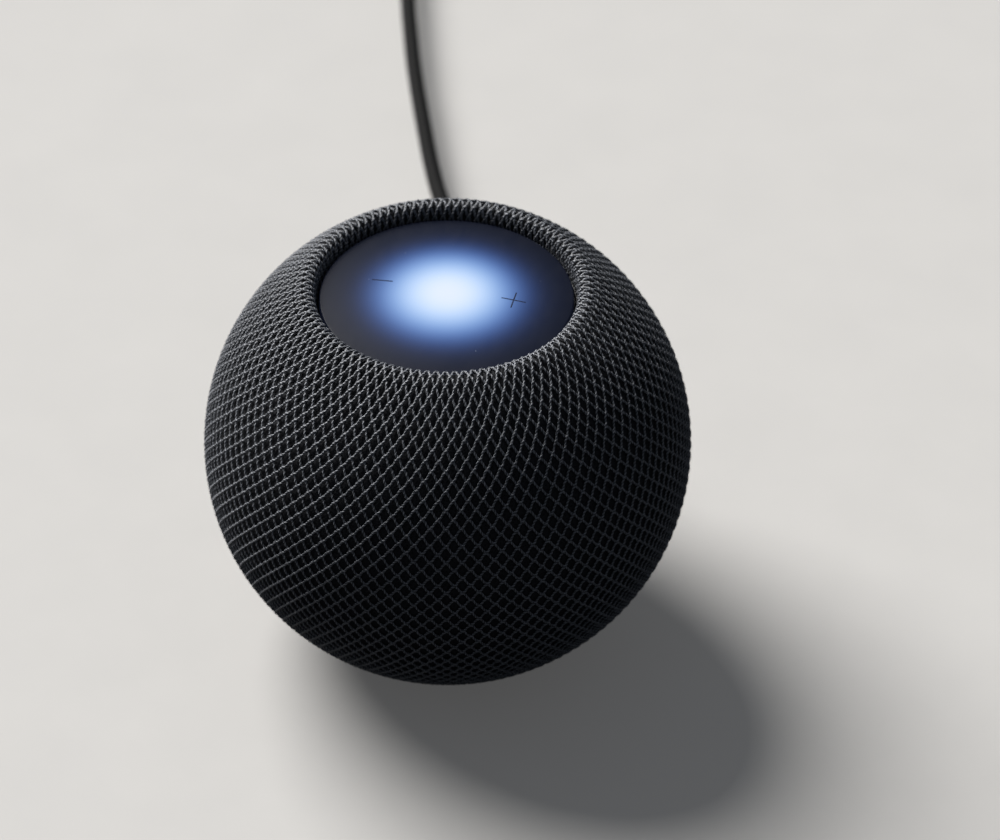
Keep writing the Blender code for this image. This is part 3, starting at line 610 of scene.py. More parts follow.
def swept_piece(name, cords, sides):
    """One piece from several swept cords, each given as its rings and its lengths."""
    points, quads, wound = [], [], []
    first = 0
    turns = (np.arange(sides)[None, :, None] + np.array([0, 1, 1, 0])) / sides
    for rings, lengths in cords:
        faces = tube_faces(len(rings), sides)
        points.append(rings.reshape(-1, 3))
        quads.append(faces + first)
        first += rings.shape[0] * sides
        steps = np.arange(len(rings) - 1)[:, None, None]
        travel = lengths[steps + np.array([0, 0, 1, 1])] / MM
        walls = np.stack(np.broadcast_arrays(turns, travel), -1).reshape(-1, 4, 2)
        wound.append(np.concatenate([walls, np.zeros((len(faces) - len(walls), 4, 2))]))
    return piece_from(name, np.concatenate(points), np.concatenate(quads), np.concatenate(wound))


def ring_piece(name, path, reach):
    """A closed tube round a closed path. reach holds the tube's radius at each step and side."""
    count, sides = reach.shape
    along = unit(np.roll(path, -1, 0) - np.roll(path, 1, 0))
    across = unit(np.cross(along, path - path.mean(0)))
    out = np.cross(across, along)
    angle = (np.arange(sides) * tau / sides)[None, :, None]
    spokes = np.cos(angle) * out[:, None, :] + np.sin(angle) * across[:, None, :]
    rings = path[:, None, :] + reach[..., None] * spokes
    here = np.arange(count)[:, None] * sides
    following = np.roll(here, -1, 0)
    side = np.arange(sides)
    beside = np.roll(side, -1)
    quads = np.stack([here + side, here + beside, following + beside, following + side], -1)
    return piece_from(name, rings.reshape(-1, 3), quads.reshape(-1, 4))


def turned(outline, sides):
    """The bmesh of an outline of (radius, height) spun about Z."""
    made = bmesh.new()
    ring = [made.verts.new((r, 0, z)) for r, z in outline]
    pairs = list(zip(ring, ring[1:]))
    if outline[0][0] > 0:
        pairs.append((ring[-1], ring[0]))
    geom = ring + [made.edges.new(pair) for pair in pairs]
    whole = {"axis": (0, 0, 1), "cent": (0, 0, 0), "angle": tau, "use_merge": True}
    bmesh.ops.spin(made, geom=geom, steps=sides, **whole)
    bmesh.ops.remove_doubles(made, verts=made.verts, dist=1e-7)
    return made


def turned_piece(name, outline, sides=96, stance=UPRIGHT, sharp=40.0):
    built = turned(outline, sides)
    built.transform(stance)
    return piece_of(name, built, sharp)


def block(name, size, fillet=0.0, steps=3):
    """A block centred on the origin, with its edges rounded."""
    built = bmesh.new()
    bmesh.ops.create_cube(built, size=1.0)
    bmesh.ops.scale(built, vec=size, verts=built.verts)
    if fillet:
        rounding = {"offset": fillet, "segments": steps, "profile": 0.5, "affect": "EDGES"}
        bmesh.ops.bevel(built, geom=built.edges[:], **rounding)
    return piece_of(name, built)


def disc(radius, bottom, top):
    return [(0, bottom), (radius, bottom), (radius, top), (0, top)]


def drill(x, y, radius, bottom, top, sides=24):
    cutter = turned_piece("cutter_drill", disc(radius, bottom, top), sides)
    cutter.data.transform(Matrix.Translation((x, y, 0)))
    return cutter


def holes_at(nodes, outline, sides=32):
    """Upright cutters turned from an outline, centred on nodes such as screws."""
    made = []
    for node in nodes:
        middle = middle_of(node)
        stance = Matrix.Translation((middle.x, middle.y, 0))
        made.append(turned_piece("cutter_hole", outline, sides, stance))
    return made


def carve(item, *cutters, sharp=30.0):
    """Cuts closed shapes from a piece and keeps what is left as its mesh."""
    for cutter in cutters:
        change = item.modifiers.new("cut", "BOOLEAN")
        change.operation = "DIFFERENCE"
        change.object = cutter
    bpy.context.view_layer.update()
    whole = bpy.context.evaluated_depsgraph_get()
    item.data = bpy.data.meshes.new_from_object(item.evaluated_get(whole))
    item.modifiers.clear()
    item.data.shade_smooth()
    item.data.set_sharp_from_angle(angle=radians(sharp))
    for cutter in cutters:
        bpy.data.objects.remove(cutter)
    return item


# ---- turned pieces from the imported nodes


def node_points(node):
    """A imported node's points without repeats, and the edges between them."""
    mesh = frame["nodes"][node].data
    spots = np.array([v.co for v in mesh.vertices])
    points, index = np.unique(np.round(spots, 6), axis=0, return_inverse=True)
    index = index.reshape(-1)
    edges = {tuple(sorted(int(index[v]) for v in edge.vertices)) for edge in mesh.edges}
    return points, edges


def neighbours(edges):
    near = {}
    for a, b in edges:
        near.setdefault(a, []).append(b)
        near.setdefault(b, []).append(a)
    return near


def standing(centre, direction):
    """The matrix that puts a piece turned about +Z at a centre, with its top in a direction."""
    spin = Vector(direction).to_track_quat("Z", "Y").to_matrix().to_4x4()
    return Matrix.Translation(centre) @ spin


def seen_from(stance, points):
    """The points in the coordinates of a stance."""
    back = np.array(stance.inverted())
    return points @ back[:3, :3].T + back[:3, 3]


def node_outline(node, stance=UPRIGHT, bearing=None):
    """The outline (radius, height) that a node was turned from, walked along one of its meridians."""
    points, edges = node_points(node)
    points = seen_from(stance, points)
    radius = np.hypot(points[:, 0], points[:, 1])
    angle = np.arctan2(points[:, 1], points[:, 0])
    off_axis = radius > TINY
    first = angle[off_axis][0] if bearing is None else radians(bearing)
    on_line = ~off_axis | (np.abs(np.sin((angle - first) / 2)) < 0.002)
    near = neighbours((a, b) for a, b in edges if on_line[a] and on_line[b])
    ends = [spot for spot in near if len(near[spot]) == 1]
    here = ends[0] if ends else min(near)
    walked = []
    while here is not None:
        walked.append(here)
        here = next((spot for spot in near[here] if spot not in walked), None)
    outline = [(float(radius[spot]), float(points[spot, 2])) for spot in walked]
    if ends and outline[0][0] > TINY:
        outline = [(0.0, outline[0][1]), *outline, (0.0, outline[-1][1])]
    return outline


def refined(outline, fillet, steps=4):
    """The outline with its corners rounded, and a smooth curve where it only bends a little."""
    points = [Vector(point) for point in outline]
    closed = points[0].x > TINY
    count = len(points)
    spans = [points[(i + 1) % count] - points[i] for i in range(count if closed else count - 1)]
    arrive, leave, ends, starts = [], [], [], []
    for i, point in enumerate(points):
        before = spans[i - 1] if closed or i else None
        after = spans[i] if closed or i < count - 1 else None
        if before is None or after is None:
            level = Vector((1.0, 0.0)) if before is None else Vector((-1.0, 0.0))
            here = [level, level, point, point]
        elif before.angle(after) > SHARP_BEND:
            back = min(fillet, 0.4 * before.length, 0.4 * after.length)
            into, away = before.normalized(), after.normalized()
            here = [into, away, point - into * back, point + away * back]
        else:
            along = before.normalized() * after.length + after.normalized() * before.length
            here = [along.normalized(), along.normalized(), point, point]
        for store, value in zip((arrive, leave, ends, starts), here):
            store.append(value)
    made = []
    for i in range(len(spans)):
        j = (i + 1) % count
        p, q = starts[i], ends[j]
        chord = q - p
        straight = min(chord.dot(leave[i]), chord.dot(arrive[j])) > 0.9995 * chord.length
        for step in range(1 if straight else steps):
            made.append(hermite(p, q, leave[i] * chord.length, arrive[j] * chord.length, step / steps))
        if (starts[j] - q).length > 0.1 * TINY:
            for t in (0.0, 0.25, 0.5, 0.75):
                made.append((1 - t) ** 2 * q + 2 * t * (1 - t) * points[j] + t**2 * starts[j])
    if not closed:
        made.append(points[-1])
    lowest = min(point.y for point in points)
    return [(max(0.0, point.x), max(lowest, point.y)) for point in made]


def smooth_node(node, fillet, sides=96, stance=UPRIGHT, bearing=None, body="hub"):
    """A finely turned piece in place of a coarsely turned node. The fillet is in millimetres."""
    outline = refined(node_outline(node, stance, bearing), fillet * MM)
    item = turned_piece(f"{node}_turned", outline, sides, stance)
    return stand_for(item, node, body)


# ---- knitted cover


def cover_meridian():
    """Points (radius, height) up the ball, over the rim and down to the tuck, with outward normals."""
    step = 0.03 * MM
    roll_z = CREST_Z - ROLL_R
    roll_start = atan2(CREST_R, roll_z - BALL_CENTRE.z)
    ball = np.linspace(radians(HEM_ANGLE), roll_start, round(100 * MM / step))
    roll = np.linspace(roll_start, 0, round(ROLL_R / step))[1:]
    mouth = np.linspace(0, pi / 2, round(MOUTH_FALL / step))[1:]
    tuck = np.linspace(CREST_Z - MOUTH_FALL, TUCK_Z, round(2.5 * MM / step))[1:]
    runs = [
        (BALL_R * np.sin(ball), BALL_CENTRE.z + BALL_R * np.cos(ball)),
        (CREST_R + ROLL_R * np.sin(roll), roll_z + ROLL_R * np.cos(roll)),
        (CREST_R - (CREST_R - MOUTH_R) * np.sin(mouth), CREST_Z - MOUTH_FALL * (1 - np.cos(mouth))),
        (np.full(len(tuck), MOUTH_R), tuck),
    ]
    line = np.concatenate([np.stack(run, 1) for run in runs])
    along = unit(np.gradient(line, axis=0))
    return line, np.stack([along[:, 1], -along[:, 0]], 1)


def cell_count(line):
    """How many cell rows lie below each point of the meridian."""
    half_width = pi * line[:, 0] / CELLS_AROUND
    half_height = np.sqrt(CELL_SIDE**2 - half_width**2)
    steps = np.linalg.norm(np.diff(line, axis=0), axis=1)
    middle = (half_height[1:] + half_height[:-1]) / 2
    return np.concatenate([[0.0], np.cumsum(steps / middle)])


def open_cable_hole(points, hole):
    """Pushes points of the cover aside, round the hole at the rear for the cable's collar."""
    dx = points[..., 0]
    dz = points[..., 2] - COLLAR_Z
    off = np.hypot(dx, dz) + 1e-9
    behind = (points[..., 1] > 0) & (off < 4 * hole)
    spread = np.where(behind, (off**4 + hole**4) ** 0.25 / off, 1.0)
    depth = np.linalg.norm(points - np.array(BALL_CENTRE), axis=-1)
    moved = points.copy()
    moved[..., 0] = dx * spread
    moved[..., 2] = COLLAR_Z + dz * spread
    flat = moved[..., 0] ** 2 + (moved[..., 2] - BALL_CENTRE.z) ** 2
    moved[..., 1] = np.where(behind, np.sqrt(np.maximum(depth**2 - flat, 0)), points[..., 1])
    return moved


def cord_path(line, normals, rows, number, lean, rise, swing):
    """A cord's centre line, the cover's normals along it and its wave. lean is +1 or -1."""
    count = np.linspace(0.0, rows[-1], int(rows[-1] * STEPS_PER_CELL))
    values = (line[:, 0], line[:, 1], normals[:, 0], normals[:, 1])
    radius, height, out_r, out_z = (np.interp(count, rows, value) for value in values)
    wave = np.cos(tau * count)
    depth = rise + swing * wave - WEAVE_DEPTH
    lag = SWAY * np.sin(tau * count) / radius
    angle = tau * number / CELLS_AROUND + lean * (pi / CELLS_AROUND * count + lag)
    radius = radius + out_r * depth
    height = height + out_z * depth
    path = np.stack([radius * np.cos(angle), radius * np.sin(angle), height], 1)
    normal = np.stack([out_r * np.cos(angle), out_r * np.sin(angle), out_z], 1)
    return open_cable_hole(path, CABLE_HOLE_R), normal, wave


def make_cords():
    """Both families of cords, in bundles that stay small enough to pass on whole."""
    line, normals = cover_meridian()
    rows = cell_count(line)
    # Both families are one yarn; the under cords get a paler copy, painted light that makes up for the
    # shade they lie in beneath the over cords.
    over = yarn_finish("yarn_over", (0.375, 0.395, 0.44), 0.08)
    under = yarn_finish("yarn_under", (0.41, 0.43, 0.48), 0.06)
    families = (
        ("cover_cords_over", 1, OVER_RISE, OVER_SWING, over),
        ("cover_cords_under", -1, UNDER_RISE, UNDER_SWING, under),
    )
    bundles = 3
    for name, lean, rise, swing, material in families:
        for bundle in range(bundles):
            cords = []
            for number in range(bundle, CELLS_AROUND, bundles):
                path, normal, wave = cord_path(line, normals, rows, number, lean, rise, swing)
                half_width = (CORD_HALF_WIDTH + CORD_SPREAD * wave)[:, None, None]
                cords.append(sweep(path, normal, half_width, CORD_HALF_HEIGHT, CORD_SIDES))
            item = swept_piece(f"{name}_{bundle + 1}", cords, CORD_SIDES)
            stand_for(item, "knit_cover", material=material)


def make_liner():
    """The acoustic mesh just under the cords, as one closed sheet with a hole for the collar."""
    line, normals = cover_meridian()
    keep = slice(None, None, 24)
    outer = (line - normals * LINER_DEPTH)[keep]
    inner = (line - normals * (LINER_DEPTH + LINER_SHEET))[keep]
    outline = [tuple(point) for point in np.concatenate([outer, inner[::-1]])]
    liner = turned_piece("cover_liner", outline, 160)
    rear = standing((0, BALL_R - 2 * MM, COLLAR_Z), (0, 1, 0))
    hole = disc(CABLE_HOLE_R - 0.3 * MM, -10 * MM, 10 * MM)
    carve(liner, turned_piece("cutter_liner", hole, 48, rear), sharp=60.0)
    # The liner's pores get painted shade, darker than its walls.
    dark, light = (0.01, 0.0105, 0.012), (0.035, 0.036, 0.04)
    mesh = porous_finish("black_liner", 2.2, (0.1, 0.5), dark, light, 0.1, 0.1)
    stand_for(liner, "knit_cover", material=mesh)


def make_cover_edges():
    """The twisted drawstring, the rolled hem it draws in, and the welt round the cable's hole."""
    low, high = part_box("cover_drawstring")
    steps, sides, strands, twists = 720, 18, 3, 60
    turn = np.arange(steps) * tau / steps
    tube_r = (high.z - low.z) / 2
    ring_r = high.x - tube_r
    level = np.full(steps, (low.z + high.z) / 2)
    path = np.stack([ring_r * np.cos(turn), ring_r * np.sin(turn), level], 1)
    lay = twists * turn[:, None] + np.arange(sides)[None, :] * tau / sides
    reach = tube_r * (0.74 + 0.26 * np.abs(np.cos(lay * strands / 2)))
    stand_for(ring_piece("drawstring_twisted", path, reach), "cover_drawstring")
    hem_r, hem_depth = 0.6 * MM, 0.6 * MM
    sphere_r = BALL_R - hem_depth
    bend = radians(HEM_ANGLE - 0.3)
    flat = sphere_r * sin(bend)
    level = np.full(steps, BALL_CENTRE.z + sphere_r * cos(bend))
    hem_path = np.stack([flat * np.cos(turn), flat * np.sin(turn), level], 1)
    pleats = hem_r * (0.92 + 0.08 * np.cos(2 * CELLS_AROUND * turn))
    turn = turn[::5]
    welt_r = CABLE_HOLE_R - 0.2 * MM
    across = welt_r * np.cos(turn)
    height = COLLAR_Z + welt_r * np.sin(turn)
    behind = np.sqrt(sphere_r**2 - across**2 - (height - BALL_CENTRE.z) ** 2)
    welt_path = np.stack([across, behind, height], 1)
    ribs = 0.52 * MM * (0.93 + 0.07 * np.cos(48 * turn))
    for name, path, reach in (("cover_hem", hem_path, pleats), ("cover_welt", welt_path, ribs)):
        edge = ring_piece(name, path, np.repeat(reach[:, None], 14, 1))
        stand_for(edge, slot="knit", material=FINISH["hem"])


# ---- lens


def lens_outline():
    """Half of the lens: a shallow dome, a rounded edge, a straight side and a flat underside."""
    edge, chamfer = 0.35 * MM, 0.3 * MM
    reach = asin((LENS_R - edge) / DOME_R)
    bends = np.linspace(0, reach, 33)
    points = [(DOME_R * sin(bend), LENS_HIGH.z - DOME_R * (1 - cos(bend))) for bend in bends]
    rim_r, rim_z = LENS_R - edge, points[-1][1] - edge
    for bend in np.linspace(0, pi / 2, 7)[1:]:
        points.append((rim_r + edge * sin(bend), rim_z + edge * cos(bend)))
    return points + [(LENS_R, LENS_LOW.z + chamfer), (LENS_R - chamfer, LENS_LOW.z), (0, LENS_LOW.z)]


def make_mark(name, bars, ink):
    """Thin printed bars that follow the dome. A bar is (centre x, centre y, half length, half width)."""
    steps, above, below = 12, 0.03 * MM, -0.02 * MM
    points, quads = [], []
    for cx, cy, half_x, half_y in bars:
        lengthwise = half_x > half_y
        quads.append(tube_faces(steps + 1, 4) + len(points))
        for share in np.linspace(-1, 1, steps + 1):
            for side, lift in ((-1, below), (1, below), (1, above), (-1, above)):
                x = cx + half_x * (share if lengthwise else -side)
                y = cy + half_y * (side if lengthwise else share)
                dome_z = LENS_HIGH.z - DOME_R + sqrt(DOME_R**2 - x * x - y * y)
                points.append((x, y, dome_z + lift))
    item = piece_from(name, np.array(points), np.concatenate(quads), sharp=40)
    stand_for(item, slot="lens", material=ink)


def make_lens():
    lens = turned_piece("touch_lens_dome", lens_outline(), 144, sharp=30)
    stand_for(lens, "touch_lens", material=lens_finish())
    ink = moulded_finish("mark_ink", (0.012, 0.016, 0.035), 0.7, glint=0.08)
    half, thin = 2.45 * MM, 0.13 * MM
    make_mark("mark_quieter", [(-13.15 * MM, 0.8 * MM, half - 0.35 * MM, thin)], ink)
    x, y = 13.4 * MM, 0.5 * MM
    arm, stub = (half + thin) / 2, (half - thin) / 2
    make_mark("mark_louder", [(x, y, half, thin), (x, y + arm, thin, stub), (x, y - arm, thin, stub)], ink)


# ---- cable


def cable_centres():
    """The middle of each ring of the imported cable, walked from its end inside the case."""
    points, edges = node_points("power_cable")
    near = neighbours(edges)
    layer = {int(i) for i in np.flatnonzero(points[:, 2] > points[:, 2].max() - TINY)}
    seen = set(layer)
    centres = []
    while layer:
        centres.append(points[sorted(layer)].mean(0))
        layer = {other for one in layer for other in near[one]} - seen
        seen |= layer
    return np.array(centres)


def resample(path, step):
    """A smooth curve through the points, at an even step."""
    lengths = lengths_along(path)
    slopes = np.gradient(path, lengths, axis=0)
    even = np.linspace(0, lengths[-1], round(lengths[-1] / step))
    after = np.clip(np.searchsorted(lengths, even), 1, len(path) - 1)
    before = after - 1
    span = (lengths[after] - lengths[before])[:, None]
    t = (even - lengths[before])[:, None] / span
    return hermite(path[before], path[after], slopes[before] * span, slopes[after] * span, t)


def carried_normals(path):
    """Normals that turn as little as they can along a path."""
    normal = np.array([1.0, 0.0, 0.0])
    normals = []
    for direction in unit(np.gradient(path, axis=0)):
        normal = normal - direction * normal.dot(direction)
        normal /= np.linalg.norm(normal)
        normals.append(normal)
    return np.array(normals)


def make_cable():
    """A braided jacket: eight strands each way, one over the other."""
    sides, strands, pitch, lift, jacket_r = 32, 8, 5.2 * MM, 0.09 * MM, 1.72 * MM
    path = resample(cable_centres(), 0.32 * MM)
    rings, lengths = sweep(path, carried_normals(path), jacket_r, jacket_r, sides)
    turn = np.arange(sides)[None, :] / sides
    run = lengths[:, None] / pitch
    one, other = (np.abs(np.sin(pi * strands / 2 * (turn + way * run))) for way in (1, -1))
    height = lift * np.maximum(one, other) ** 2
    rings = rings + (rings - path[:, None, :]) / jacket_r * height[..., None]
    item = swept_piece("cable_braid", [(rings, lengths)], sides)
    stand_for(item, "power_cable", material=braid_finish())


def make_collar():
    """The rubber collar round the cable, ribbed where it bends."""
    stance = standing((0, COLLAR_LOW.y, COLLAR_Z), (0, 1, 0))
    outline = refined(node_outline("cable_strain_relief", stance), 0.3 * MM)
    length = COLLAR_HIGH.y - COLLAR_LOW.y
    bore_wall = min(r for r, _ in outline) + 0.3 * MM
    first, last, pitch, depth = length - 4.9 * MM, length - 0.9 * MM, 1.0 * MM, 0.22 * MM
    ribbed = []
    for (r, z), (next_r, next_z) in zip(outline, outline[1:] + outline[:1]):
        count = max(1, round(hypot(next_r - r, next_z - z) / (0.12 * MM)))
        for step in range(count):
            share = step / count
            reach, level = r + (next_r - r) * share, z + (next_z - z) * share
            if first < level < last and reach > bore_wall:
                reach -= depth * (0.5 - 0.5 * cos(tau * (level - first) / pitch))
            ribbed.append((reach, level))
    collar = turned_piece("strain_relief_ribbed", ribbed, 56, stance)
    stand_for(collar, "cable_strain_relief")


def bar_rings(width, height, stations, corner_steps=14):
    """Rings of a flat bar with round ends along +Y. A station is (y, how far the ring is drawn in)."""
    rings = []
    centre = (width - height) / 2
    for y, inset in stations:
        radius = height / 2 - inset
        ring = []
        for side, first in ((1, -pi / 2), (-1, pi / 2)):
            for bend in np.linspace(first, first + pi, corner_steps):
                ring.append((side * centre + radius * cos(bend), y, radius * sin(bend)))
        rings.append(ring)
    return np.array(rings)


def make_plug():
    """The plug: a gripped body with rounded ends, a folded steel shell and a contact tongue."""
    body_middle, shell_middle = middle_of("plug_body"), middle_of("plug_shell")
    heading = (shell_middle - body_middle).normalized()
    spin = heading.to_track_quat("Y", "Z").to_matrix().to_4x4()
    width, height, length, edge = 10.6 * MM, 5.8 * MM, 20.0 * MM, 1.1 * MM
    grip_first, grip_last, pitch, depth = 3.6 * MM, 13.4 * MM, 1.4 * MM, 0.22 * MM
    start = body_middle - heading * (length / 2)
    nose = [(edge * (1 - cos(t)), edge * (1 - sin(t))) for t in np.linspace(0, pi / 2, 7)]
    waist = []
    for y in np.arange(edge + 0.1 * MM, length - edge, 0.14 * MM):
        share = 0.5 - 0.5 * cos(tau * (y - grip_first) / pitch)
        waist.append((y, depth * share**2 if grip_first < y < grip_last else 0.0))
    tail = [(length - y, inset) for y, inset in reversed(nose)]
    body = tube_piece("plug_body_gripped", bar_rings(width, height, nose + waist + tail), sharp=40)
    body.data.transform(Matrix.Translation(start) @ spin)
    socket = disc(2.1 * MM, -2 * MM, 3.3 * MM)
    carve(body, turned_piece("cutter_socket", socket, 40, standing(start, heading)))
    stand_for(body, "plug_body")
    width, height, length, lip, wall = 8.3 * MM, 2.6 * MM, 6.6 * MM, 0.18 * MM, 0.35 * MM
    stance = Matrix.Translation(shell_middle - heading * (length / 2)) @ spin
    stations = [(0, 0), (length - lip, 0), (length - lip / 3, lip / 3), (length, lip)]
    shell = tube_piece("plug_shell_folded", bar_rings(width, height, stations), sharp=40)
    shell.data.transform(stance)
    hollow = bar_rings(width - 2 * wall, height - 2 * wall, [(MM, 0), (length + MM, 0)])
    mouth = tube_piece("cutter_mouth", hollow)
    mouth.data.transform(stance)
    carve(shell, mouth)
    stand_for(shell, "plug_shell")
    tongue = block("plug_tongue", Vector((6.2, 4.9, 0.7)) * MM, 0.12 * MM)
    tongue.data.transform(stance @ Matrix.Translation((0, 3.3 * MM, 0)))
    stand_for(tongue, slot="black_plastic")


# ---- soft rings that cross a joint


def blend_ring(item, stance, inner_body, inner_r, outer_r):
    """Lays the ring's points out by their distance from its axis, bakes the ring's transform and puts the
    points back as they were, so the ring keeps its shape. The moving body inside it and the two radii are
    not used.
    """
    mesh = item.data
    true_points = np.array([v.co for v in mesh.vertices])
    local = seen_from(stance, true_points)
    laid_out = np.zeros_like(local)
    laid_out[:, 0] = np.hypot(local[:, 0], local[:, 1])
    mesh.vertices.foreach_set("co", laid_out.astype(np.float32).ravel())
    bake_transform(item)
    mesh.vertices.foreach_set("co", true_points.astype(np.float32).ravel())
    mesh.update()


def arch_outline(lands, roll, base, rise, sheet):
    """A half-roll suspension: a flat land each side of an arch, as a sheet of even thickness."""
    middle, half = (roll[0] + roll[1]) / 2, (roll[1] - roll[0]) / 2
    turn = np.linspace(-pi / 2, pi / 2, 17)
    up = copysign(sheet, rise)
    outside = [(middle + half * sin(a), base + up + (rise - up) * cos(a)) for a in turn]
    thin = half - abs(sheet)
    inside = [(middle + thin * sin(a), base + (rise - up) * cos(a)) for a in turn[::-1]]
    ends = [(lands[1], base + up), (lands[1], base)]
    return outside + ends + inside + [(lands[0], base), (lands[0], base + up)]


def spider_outline(low, high, inner_r, outer_r, sheet):
    """The corrugated disc that centres the coil, flat where it is glued."""
    middle, pitch, flat = (low + high) / 2, 3.4 * MM, 1.1 * MM
    reach = (high - low - sheet) / 2
    radii = np.linspace(inner_r, outer_r, 90)
    inside = np.clip((radii - inner_r - flat) / (outer_r - inner_r - 3 * flat), 0, 1)
    wave = np.where((inside > 0) & (inside < 1), np.sin((radii - inner_r - flat) / pitch * tau), 0)
    lower = [(r, middle - sheet / 2 + reach * w) for r, w in zip(radii, wave)]
    return lower + [(r, z + sheet) for r, z in reversed(lower)]


def suspend(name, node, outline, span, inner_body, sides, stance=UPRIGHT, sharp=40.0):
    """A suspension in place of a node. The two radii of its span are passed on to blend_ring."""
    ring = turned_piece(name, outline, sides, stance, sharp)
    blend_ring(ring, stance, inner_body, *span)
    stand_for(ring, node, body=None)


def make_suspensions():
    """The surround and spider of the driver, and the surrounds of both radiators."""
    low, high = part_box("cone_surround")
    cone_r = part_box("driver_cone")[1].x
    roll = (cone_r + 0.2 * MM, cone_r + 4.4 * MM)
    outline = arch_outline((cone_r - 1.0 * MM, high.x), roll, high.z, low.z - high.z, 0.5 * MM)
    suspend("cone_surround_roll", "cone_surround", outline, roll, "cone", 128)
    low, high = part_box("spider")
    coil_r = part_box("voice_coil")[1].x
    outline = spider_outline(low.z, high.z, coil_r + 0.25 * MM, high.x, 0.35 * MM)
    span = (coil_r + 1.4 * MM, high.x - 2.2 * MM)
    suspend("spider_corrugated", "spider", outline, span, "cone", 128, sharp=60)
    for side, sign in SIDES:
        low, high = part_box(f"radiator_surround_{side}")
        plate_r, land_r = size_of(f"radiator_plate_{side}").y / 2, (high.y - low.y) / 2
        roll = (plate_r + 0.9 * MM, land_r - 0.6 * MM)
        outline = arch_outline((plate_r + 0.3 * MM, land_r), roll, 0.2 * MM, high.x - low.x, 0.5 * MM)
        body, stance = f"{side}_radiator", radiator_stance(side, sign)
        suspend(f"radiator_roll_{side}", f"radiator_surround_{side}", outline, roll, body, 112, stance)


# ---- driver and radiators


SIDES = (("right", 1), ("left", -1))


def radiator_stance(side, sign):
    """Local +Z points out of the radiator, and local zero is the back of its plate."""
    low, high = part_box(f"radiator_plate_{side}")
    x = low.x if sign > 0 else high.x
    return standing((x, 0, (low.z + high.z) / 2), (sign, 0, 0))


def make_radiators():
    for side, sign in SIDES:
        stance = radiator_stance(side, sign)
        smooth_node(f"radiator_frame_{side}", 0.25, 112, stance)
        smooth_node(f"radiator_plate_{side}", 0.12, 112, stance, body=f"{side}_radiator")


def coil_outline():
    """The film former with a layer of round wire on its upper end."""
    outline = node_outline("voice_coil")
    former_r = sorted({round(r, 5) for r, _ in outline})[1]
    wound = [z for r, z in outline if r > former_r + 0.1 * MM]
    bottom, top = min(wound), max(wound)
    bore = min(r for r, _ in outline)
    low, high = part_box("voice_coil")
    wire_r, lacquer = 0.17 * MM, 0.04 * MM
    rows = int((top - bottom) / (2 * wire_r))
    made = [(bore, low.z), (former_r, low.z), (former_r, bottom)]
    for row in range(rows):
        middle = bottom + (2 * row + 1) * wire_r
        for bend in np.linspace(-pi / 2, pi / 2, 6):
            reach = former_r + lacquer + 2 * wire_r * cos(bend)
            made.append((reach, middle + wire_r * sin(bend)))
    made += [(former_r, bottom + 2 * rows * wire_r), (former_r, high.z), (bore, high.z)]
    return made, former_r


def basket_windows():
    """Three bars that cross the basket and open six windows between its legs, with rounded corners."""
    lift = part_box("driver_basket")[0].z + 6.0 * MM
    made = []
    for number in range(3):
        bar = block("cutter_window", Vector((70, 9, 5.6)) * MM, 1.2 * MM, 4)
        spin = Matrix.Rotation(radians(30 + 120 * number), 4, "Z")
        bar.data.transform(Matrix.Translation((0, 0, lift)) @ spin)
        made.append(bar)
    return made


def make_driver():
    """The basket with its windows, the motor, and the cone that moves."""
    for node in ("front_plate", "driver_magnet", "back_plate"):
        smooth_node(node, 0.3)
    for node, fillet, windows in (("driver_basket", 0.25, basket_windows()), ("driver_gasket", 0.1, [])):
        low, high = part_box(node)
        item = smooth_node(node, fillet, 120, bearing=0)
        way = disc(SHANK_WAY_R, low.z - MM, high.z + MM)
        carve(item, *holes_at(screws_of("driver"), way), *windows)
    for node in ("driver_cone", "dust_cap"):
        smooth_node(node, 0.1, 120, body="cone")
    outline, former_r = coil_outline()
    coil = turned_piece("voice_coil_wound", outline, 96, sharp=50)
    stand_for(coil, "voice_coil", "cone", material=coil_finish(former_r))


# ---- screws, chips, case and foot


def threaded_screw(name, length, head_r):
    """The screw stands on its head, with the tip up. A round grid is wrapped about the axis."""
    sides, pitch, depth, edge = 40, 0.45 * MM, 0.14 * MM, 0.05 * MM
    profile = []
    for bend in np.linspace(0, pi / 2, 7)[1:]:
        profile.append((0.42 * MM * (1 - cos(bend)), head_r * (0.55 + 0.45 * sin(bend)), 0.0))
    profile += [(HEAD_TOP - edge, head_r, 0.0), (HEAD_TOP, head_r - edge, 0.0), (HEAD_TOP, SHANK_R, 0.0)]
    for z in np.linspace(HEAD_TOP + 0.1 * MM, length, round((length - HEAD_TOP) / (pitch / 7))):
        left = length - z
        threaded = min(1.0, (z - HEAD_TOP) / (0.5 * MM)) * min(1.0, left / (0.4 * MM))
        profile.append((z, min(SHANK_R, 0.25 * MM + left * 1.1), threaded))
    heights, radii, threaded = np.array(profile).T[..., None]
    angle = np.arange(sides)[None, :] / sides
    phase = (heights / pitch - angle) % 1.0
    reach = radii - depth * np.abs(2 * phase - 1) * threaded
    turn = tau * angle
    upright = np.broadcast_to(heights, reach.shape)
    item = tube_piece(name, np.stack([reach * np.cos(turn), reach * np.sin(turn), upright], -1))
    cross = [block("cutter_cross", Vector((2.2, 0.42, 1.0)) * MM) for _ in range(2)]
    cross[1].data.transform(Matrix.Rotation(pi / 2, 4, "Z"))
    return carve(item, *cross)


def make_screws():
    """Pan heads with a cross recess, on shanks with a helical thread."""
    for kind in ("driver", "base"):
        size = size_of(f"{kind}_screw_1")
        shape = threaded_screw(f"{kind}_screw", size.z, size.x / 2)
        for node in screws_of(kind):
            item = linked(f"{node}_threaded", shape.data)
            item.location = (*middle_of(node).xy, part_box(node)[0].z)
            stand_for(item, node)
        bpy.data.objects.remove(shape)


